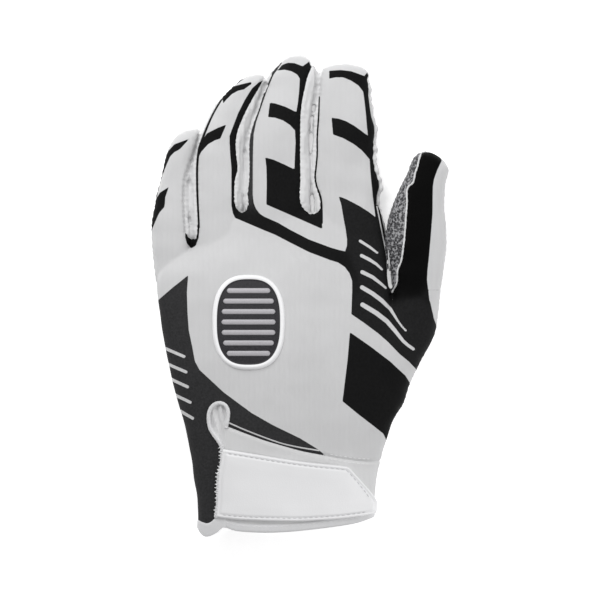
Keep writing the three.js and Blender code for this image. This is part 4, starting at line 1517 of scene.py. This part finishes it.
class Shader:
    """A material's node tree, with short ways to add to it."""

    def __init__(self, name, roughness, **settings):
        self.material = bpy.data.materials.new(name)
        self.material.use_nodes = True
        self.tree = self.material.node_tree
        self.surface = self.tree.nodes["Principled BSDF"]
        self.surface.inputs["Roughness"].default_value = roughness
        for key, value in settings.items():
            self.surface.inputs[key.replace("_", " ")].default_value = value

    def put(self, socket, value):
        if isinstance(value, bpy.types.NodeSocket):
            self.tree.links.new(value, socket)
        elif isinstance(value, tuple) and len(value) == 3 and socket.type == "RGBA":
            socket.default_value = (*value, 1)
        else:
            socket.default_value = value

    def node(self, kind, inputs=None, **settings):
        node = self.tree.nodes.new(kind)
        for key, value in settings.items():
            setattr(node, key, value)
        for key, value in (inputs or {}).items():
            self.put(node.inputs[key], value)
        return node

    def math(self, operation, a, b=0.0, c=0.0):
        node = self.node("ShaderNodeMath", {0: a, 1: b, 2: c}, operation=operation)
        return node.outputs[0]

    def fit(self, value, low, high, out_low=0.0, out_high=1.0):
        inputs = {"Value": value, "From Min": low, "From Max": high, "To Min": out_low, "To Max": out_high}
        return self.node("ShaderNodeMapRange", inputs).outputs[0]

    def mix(self, share, a, b):
        node = self.node("ShaderNodeMix", {0: share, 6: a, 7: b}, data_type="RGBA")
        return node.outputs[2]

    def value(self, name):
        return self.node("ShaderNodeAttribute", attribute_name=name).outputs["Fac"]

    def place(self):
        return self.node("ShaderNodeTexCoord").outputs["Object"]

    def noise(self, scale, detail=3.0, rough=0.55, place=None):
        inputs = {"Scale": scale, "Detail": detail, "Roughness": rough, "Vector": place or self.place()}
        return self.node("ShaderNodeTexNoise", inputs).outputs["Fac"]

    def cells(self, scale, place=None):
        inputs = {"Scale": scale, "Vector": place or self.place()}
        return self.node("ShaderNodeTexVoronoi", inputs, feature="F1").outputs["Distance"]

    def axes(self, vector):
        """The three parts of a vector."""
        node = self.node("ShaderNodeSeparateXYZ", {0: vector})
        return [node.outputs[k] for k in range(3)]

    def colour(self, value):
        self.put(self.surface.inputs["Base Color"], value)

    def rough(self, value):
        self.put(self.surface.inputs["Roughness"], value)

    def bump(self, height, distance, strength=1.0):
        node = self.node("ShaderNodeBump", {"Height": height, "Distance": distance, "Strength": strength})
        self.put(self.surface.inputs["Normal"], node.outputs["Normal"])


# The knit, the binding's ribs and the warp of the grip's mottle, in metres.
RIB_PITCH = 0.00062
LOOP_PITCH = 0.00052
BINDING_PITCH = 0.0006
KNIT_RELIEF = 0.00016
GRIP_WARP = 0.0016


def knit_height(shader):
    """Columns of small loops that run along the glove, on its top and down its sides."""
    x, y, z = shader.axes(shader.place())
    up = shader.axes(shader.node("ShaderNodeNewGeometry").outputs["Normal"])[2]
    top = shader.fit(shader.math("ABSOLUTE", up), 0.45, 0.7)

    def loops(across):
        turn = shader.math("MULTIPLY", across, TAU / (2 * RIB_PITCH))
        column = shader.math("ABSOLUTE", shader.math("SINE", turn))
        phase = shader.math("MULTIPLY_ADD", y, TAU / LOOP_PITCH, shader.math("MULTIPLY", column, 2.4))
        turn = shader.math("MULTIPLY", shader.math("SINE", phase), 0.28)
        return shader.math("ADD", column, turn)

    side = shader.math("MULTIPLY", loops(z), shader.math("SUBTRACT", 1.0, top))
    return shader.math("MULTIPLY_ADD", loops(x), top, side)


WHITE = (0.59, 0.59, 0.595)
SHADE = (0.51, 0.51, 0.52)
SIDE_WHITE = (0.70, 0.70, 0.705)
SIDE_SHADE = (0.60, 0.60, 0.61)
CHARCOAL = (0.100, 0.100, 0.104)
BLACK = (0.001, 0.001, 0.001)


def white_cloth(shader, white, shade_of):
    """White knit with faint unevenness, and painted shade between its ribs."""
    height = knit_height(shader)
    uneven = shader.fit(shader.noise(55.0, 4), 0.3, 0.75)
    base = shader.mix(uneven, white, tuple(0.94 * c for c in white))
    # Painted shade: the knit is darker where its ribs dip.
    base = shader.mix(shader.fit(height, 0.75, 0.05, 0.0, 0.55), base, shade_of)
    fibre = shader.noise(4200.0, 2)
    rough = shader.math("MULTIPLY_ADD", fibre, 0.35, height)
    return base, rough


def knit_material(name, white, shade_of):
    """Plain white knit."""
    shader = Shader(name, 0.86, Sheen_Weight=0.2, Sheen_Roughness=0.6, Specular_IOR_Level=0.3)
    base, height = white_cloth(shader, white, shade_of)
    shader.colour(base)
    shader.bump(height, KNIT_RELIEF, 0.7)
    return shader.material


def printed_material():
    """White knit with flat black shapes printed on it."""
    shader = Shader("printed_knit", 0.84, Sheen_Weight=0.2, Sheen_Roughness=0.55)
    base, height = white_cloth(shader, WHITE, SHADE)
    edge = 0.07
    wobble = shader.fit(shader.noise(1500.0, 2), 0.0, 1.0, -0.10, 0.10)
    solid = shader.fit(shader.math("ADD", shader.value("ink"), wobble), edge, -edge)

    def line(across, half):
        off = shader.math("SUBTRACT", shader.math("ABSOLUTE", shader.value(across)), shader.value(half))
        return shader.fit(shader.math("ADD", off, shader.math("MULTIPLY", wobble, 0.5)), edge, -edge)

    ink = shader.math("MAXIMUM", solid, line("ink_across", "ink_half"))
    bare = line("bare_across", "bare_half")
    ink = shader.math("MULTIPLY", ink, shader.math("SUBTRACT", 1.0, bare))
    # The tone per shape carries painted highlight and painted shade along with the print's own black and
    # charcoal; the noise on it is wear.
    worn = shader.fit(shader.noise(900.0, 5, 0.7), 0.3, 0.8, 0.75, 1.5)
    tone = shader.math("MULTIPLY", shader.value("tone"), worn)
    black = shader.mix(shader.fit(tone, BLACK[0], CHARCOAL[0]), BLACK, CHARCOAL)
    shader.colour(shader.mix(ink, base, black))
    shader.rough(shader.fit(ink, 0.0, 1.0, 0.86, 0.62))
    shader.put(shader.surface.inputs["Sheen Weight"], shader.fit(ink, 0.0, 1.0, 0.2, 0.0))
    shader.put(shader.surface.inputs["Specular IOR Level"], shader.fit(ink, 0.0, 1.0, 0.3, 0.05))
    flat = shader.math("MULTIPLY", height, shader.fit(ink, 0.0, 1.0, 1.0, 0.55))
    shader.bump(flat, KNIT_RELIEF, 0.7)
    return shader.material


def grip_material(name, dark, middle, light, scale, coated=False):
    """Tacky coating broken into a fine silver and black mottle, with bare cloth where `coat` says so."""
    shader = Shader(name, 0.5, Specular_IOR_Level=0.3)
    place = shader.place()
    warp = shader.node("ShaderNodeTexNoise", {"Scale": 420.0, "Detail": 2.0, "Vector": place})
    bend = {0: warp.outputs["Color"], 1: (GRIP_WARP,) * 3, 2: place}
    bent = shader.node("ShaderNodeVectorMath", bend, operation="MULTIPLY_ADD")
    speck = shader.cells(scale, bent.outputs[0])
    blot = shader.noise(scale * 0.8, 4, 0.7, place)
    light_share = shader.fit(shader.math("ADD", speck, blot), 1.02, 1.2)
    dark_share = shader.fit(shader.math("SUBTRACT", blot, speck), 0.05, 0.25)
    base = shader.mix(light_share, middle, light)
    colour = shader.mix(dark_share, base, dark)
    if coated:
        coat = shader.fit(shader.value("coat"), -0.12, 0.12)
        colour = shader.mix(coat, SIDE_WHITE, colour)
        shader.rough(shader.fit(coat, 0.0, 1.0, 0.85, 0.5))
    else:
        height = shader.axes(place)[2]
        colour = shader.mix(shader.fit(height, 0.0052, 0.0044), colour, dark)
        shader.rough(shader.fit(blot, 0.3, 0.7, 0.4, 0.65))
    shader.colour(colour)
    shader.bump(shader.math("ADD", speck, blot), 0.0003, 0.5)
    return shader.material


def strap_material():
    """Smooth laminate with a fine grain."""
    shader = Shader("strap", 0.5, Sheen_Weight=0.1)
    grain = shader.cells(1500.0)
    cloud = shader.noise(40.0, 3)
    shader.colour(shader.mix(shader.fit(cloud, 0.3, 0.7), (0.765, 0.765, 0.775), (0.73, 0.73, 0.74)))
    shader.rough(shader.fit(cloud, 0.3, 0.7, 0.46, 0.6))
    shader.bump(shader.math("ADD", grain, shader.noise(2500.0, 2)), 0.00006, 0.5)
    return shader.material


def binding_material():
    """Elastic binding: fine cross ribs on white, with painted shade in the grooves between them."""
    shader = Shader("binding", 0.8, Sheen_Weight=0.2)
    x, y, z = shader.axes(shader.place())
    way = shader.math("ADD", shader.math("ADD", x, y), z)
    rib = shader.math("SINE", shader.math("MULTIPLY", way, TAU / BINDING_PITCH))
    height = shader.math("ADD", rib, shader.noise(2600.0, 3))
    # Painted shade: the binding is darker in the grooves between its ribs.
    shader.colour(shader.mix(shader.fit(height, -0.6, 1.4), (0.60, 0.60, 0.61), (0.74, 0.74, 0.75)))
    shader.bump(height, 0.00010, 0.6)
    return shader.material


def thread_material(name, low, high):
    """Twisted sewing thread between two tones."""
    shader = Shader(name, 0.7, Sheen_Weight=0.2)
    twist = shader.noise(3800.0, 2)
    shader.colour(shader.mix(shader.fit(twist, 0.3, 0.7), low, high))
    shader.bump(twist, 0.00006, 0.7)
    return shader.material


def patch_material():
    """Moulded rubber: a white rim round a charcoal field with a fine grain."""
    shader = Shader("patch", 0.45, Specular_IOR_Level=0.25)
    grain = shader.noise(1400.0, 4, 0.65)
    field = shader.fit(shader.value("field"), -0.06, 0.06)
    dark = shader.mix(shader.fit(grain, 0.3, 0.75), (0.010, 0.010, 0.012), (0.035, 0.033, 0.038))
    rim = shader.mix(shader.fit(grain, 0.3, 0.75), (0.84, 0.84, 0.85), (0.78, 0.78, 0.79))
    shader.colour(shader.mix(field, rim, dark))
    shader.rough(shader.fit(grain, 0.3, 0.75, 0.4, 0.6))
    shader.bump(grain, 0.00008, 0.6)
    return shader.material


def rib_material():
    """The same rubber in the lighter grey of the patch's ribs."""
    shader = Shader("patch_ribs", 0.4)
    grain = shader.noise(1600.0, 4, 0.65)
    shader.colour(shader.mix(shader.fit(grain, 0.3, 0.75), (0.33, 0.32, 0.34), (0.42, 0.41, 0.43)))
    shader.rough(shader.fit(grain, 0.3, 0.75, 0.34, 0.52))
    shader.bump(grain, 0.00008, 0.6)
    return shader.material


printed = printed_material()
knit = knit_material("white_knit", SIDE_WHITE, SIDE_SHADE)
cuff_knit = knit_material("cuff_knit", (0.66, 0.66, 0.665), (0.57, 0.57, 0.575))
grip_dark = (0.012, 0.012, 0.013)
silver = grip_material("silver_grip", grip_dark, (0.065, 0.065, 0.07), (0.30, 0.30, 0.31), 900.0)
palm = grip_material("palm_grip", grip_dark, (0.085, 0.085, 0.09), (0.34, 0.34, 0.35), 950.0, True)
laminate = strap_material()
elastic = binding_material()
thread = thread_material("thread", (0.72, 0.72, 0.73), (0.84, 0.84, 0.85))
# The strap's thread is grey as painted shadow of its stitches and their holes.
thread_with_painted_shadow = thread_material("thread_with_painted_shadow", (0.50, 0.50, 0.51), (0.58, 0.58, 0.59))
rubber = patch_material()
rib_rubber = rib_material()


# Each piece with its material, its slot and the node that it stands for.
PIECES = [
    (panels["back_panel"], printed, "printed_knit", "back_panel"),
    (panels["palm_panel"], palm, "palm_grip", "palm_panel"),
    (panels["thumb_grip"], silver, "silver_grip", "thumb_grip"),
    (panels["fourchette_little_ring"], knit, "white_knit", "fourchette_little_ring"),
    (panels["fourchette_ring_middle"], knit, "white_knit", "fourchette_ring_middle"),
    (panels["fourchette_middle_index"], knit, "white_knit", "fourchette_middle_index"),
    (panels["cuff_band"], cuff_knit, "white_knit", "cuff_band"),
    (panels["slit_gusset"], knit, "white_knit", "slit_gusset"),
    (panels["flap_cap"], elastic, "binding", None),
    (slit_rim, elastic, "binding", "slit_binding"),
    (hem, elastic, "binding", "hem_binding"),
    (strap, laminate, "strap", "wrist_strap"),
    (patch, rubber, "patch", "back_patch"),
    (patch_ribs, rib_rubber, "patch", None),
    (strap_stitches, thread_with_painted_shadow, "strap", None),
    (flap_stitches, thread, "binding", None),
    (hem_stitches, thread, "binding", None),
    (cuff_stitches, thread, "binding", None),
    (thumb_welt, knit, "white_knit", None),
    (index_ruffle, knit, "white_knit", None),
]

for piece, finish, slot, node in PIECES:
    piece.data.materials.clear()
    piece.data.materials.append(finish)
    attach(piece, "root")
    if node:
        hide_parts(node)

drop_object(skin)


# The floor, the light and the camera.


FLOOR_REACH = 3000
FLOOR_DROP = 0.0002
FLOOR_COLOUR = (0.93, 0.93, 0.93, 1)
FLOOR_GLOW = 0.45
LIGHT_COLOUR = (1, 1, 1, 1)
STUDIO_LIGHT = 0.40
CAMERA_DISTANCE = 3000.0
# Each lamp with its place and width in metres and its power in watts.
LAMPS = [
    ("key", (-0.20, 0.42, 0.40), 0.4, 3.05),
    ("fill", (0.45, -0.20, 0.42), 0.5, 1.75),
]


def make_floor():
    corners = [(x * FLOOR_REACH, y * FLOOR_REACH, 0) for x, y in ((-1, -1), (1, -1), (1, 1), (-1, 1))]
    floor = new_object("floor", corners, [(0, 1, 2, 3)])
    floor.location.z = -FLOOR_DROP
    shader = Shader("floor", 0.9)
    shader.surface.inputs["Base Color"].default_value = FLOOR_COLOUR
    shader.surface.inputs["Emission Color"].default_value = LIGHT_COLOUR
    shader.surface.inputs["Emission Strength"].default_value = FLOOR_GLOW
    floor.data.materials.append(shader.material)


def make_lights():
    world = bpy.data.worlds.new("studio")
    bpy.context.scene.world = world
    world.use_nodes = True
    background = world.node_tree.nodes["Background"]
    background.inputs["Color"].default_value = LIGHT_COLOUR
    background.inputs["Strength"].default_value = STUDIO_LIGHT
    for name, place, size, power in LAMPS:
        light = bpy.data.lights.new(name, "AREA")
        light.size = size
        light.energy = power
        obj = bpy.data.objects.new(name, light)
        obj.location = place
        obj.rotation_euler = (Vector((0, 0, 0)) - Vector(place)).to_track_quat("-Z", "Y").to_euler()
        bpy.context.scene.collection.objects.link(obj)


def make_camera():
    """A long lens straight above the glove, whose view is the photograph's frame."""
    camera = bpy.data.cameras.new("camera")
    camera.sensor_width = 36.0
    camera.lens = camera.sensor_width * CAMERA_DISTANCE / PHOTO_SPAN
    camera.clip_end = 20
    eye = bpy.data.objects.new("camera", camera)
    x, y = plan(PHOTO_CENTRE)
    eye.location = (x * MM, y * MM, CAMERA_DISTANCE * MM)
    bpy.context.scene.collection.objects.link(eye)
    bpy.context.scene.camera = eye
    bpy.context.scene.view_settings.view_transform = "Standard"


make_floor()
make_lights()
make_camera()
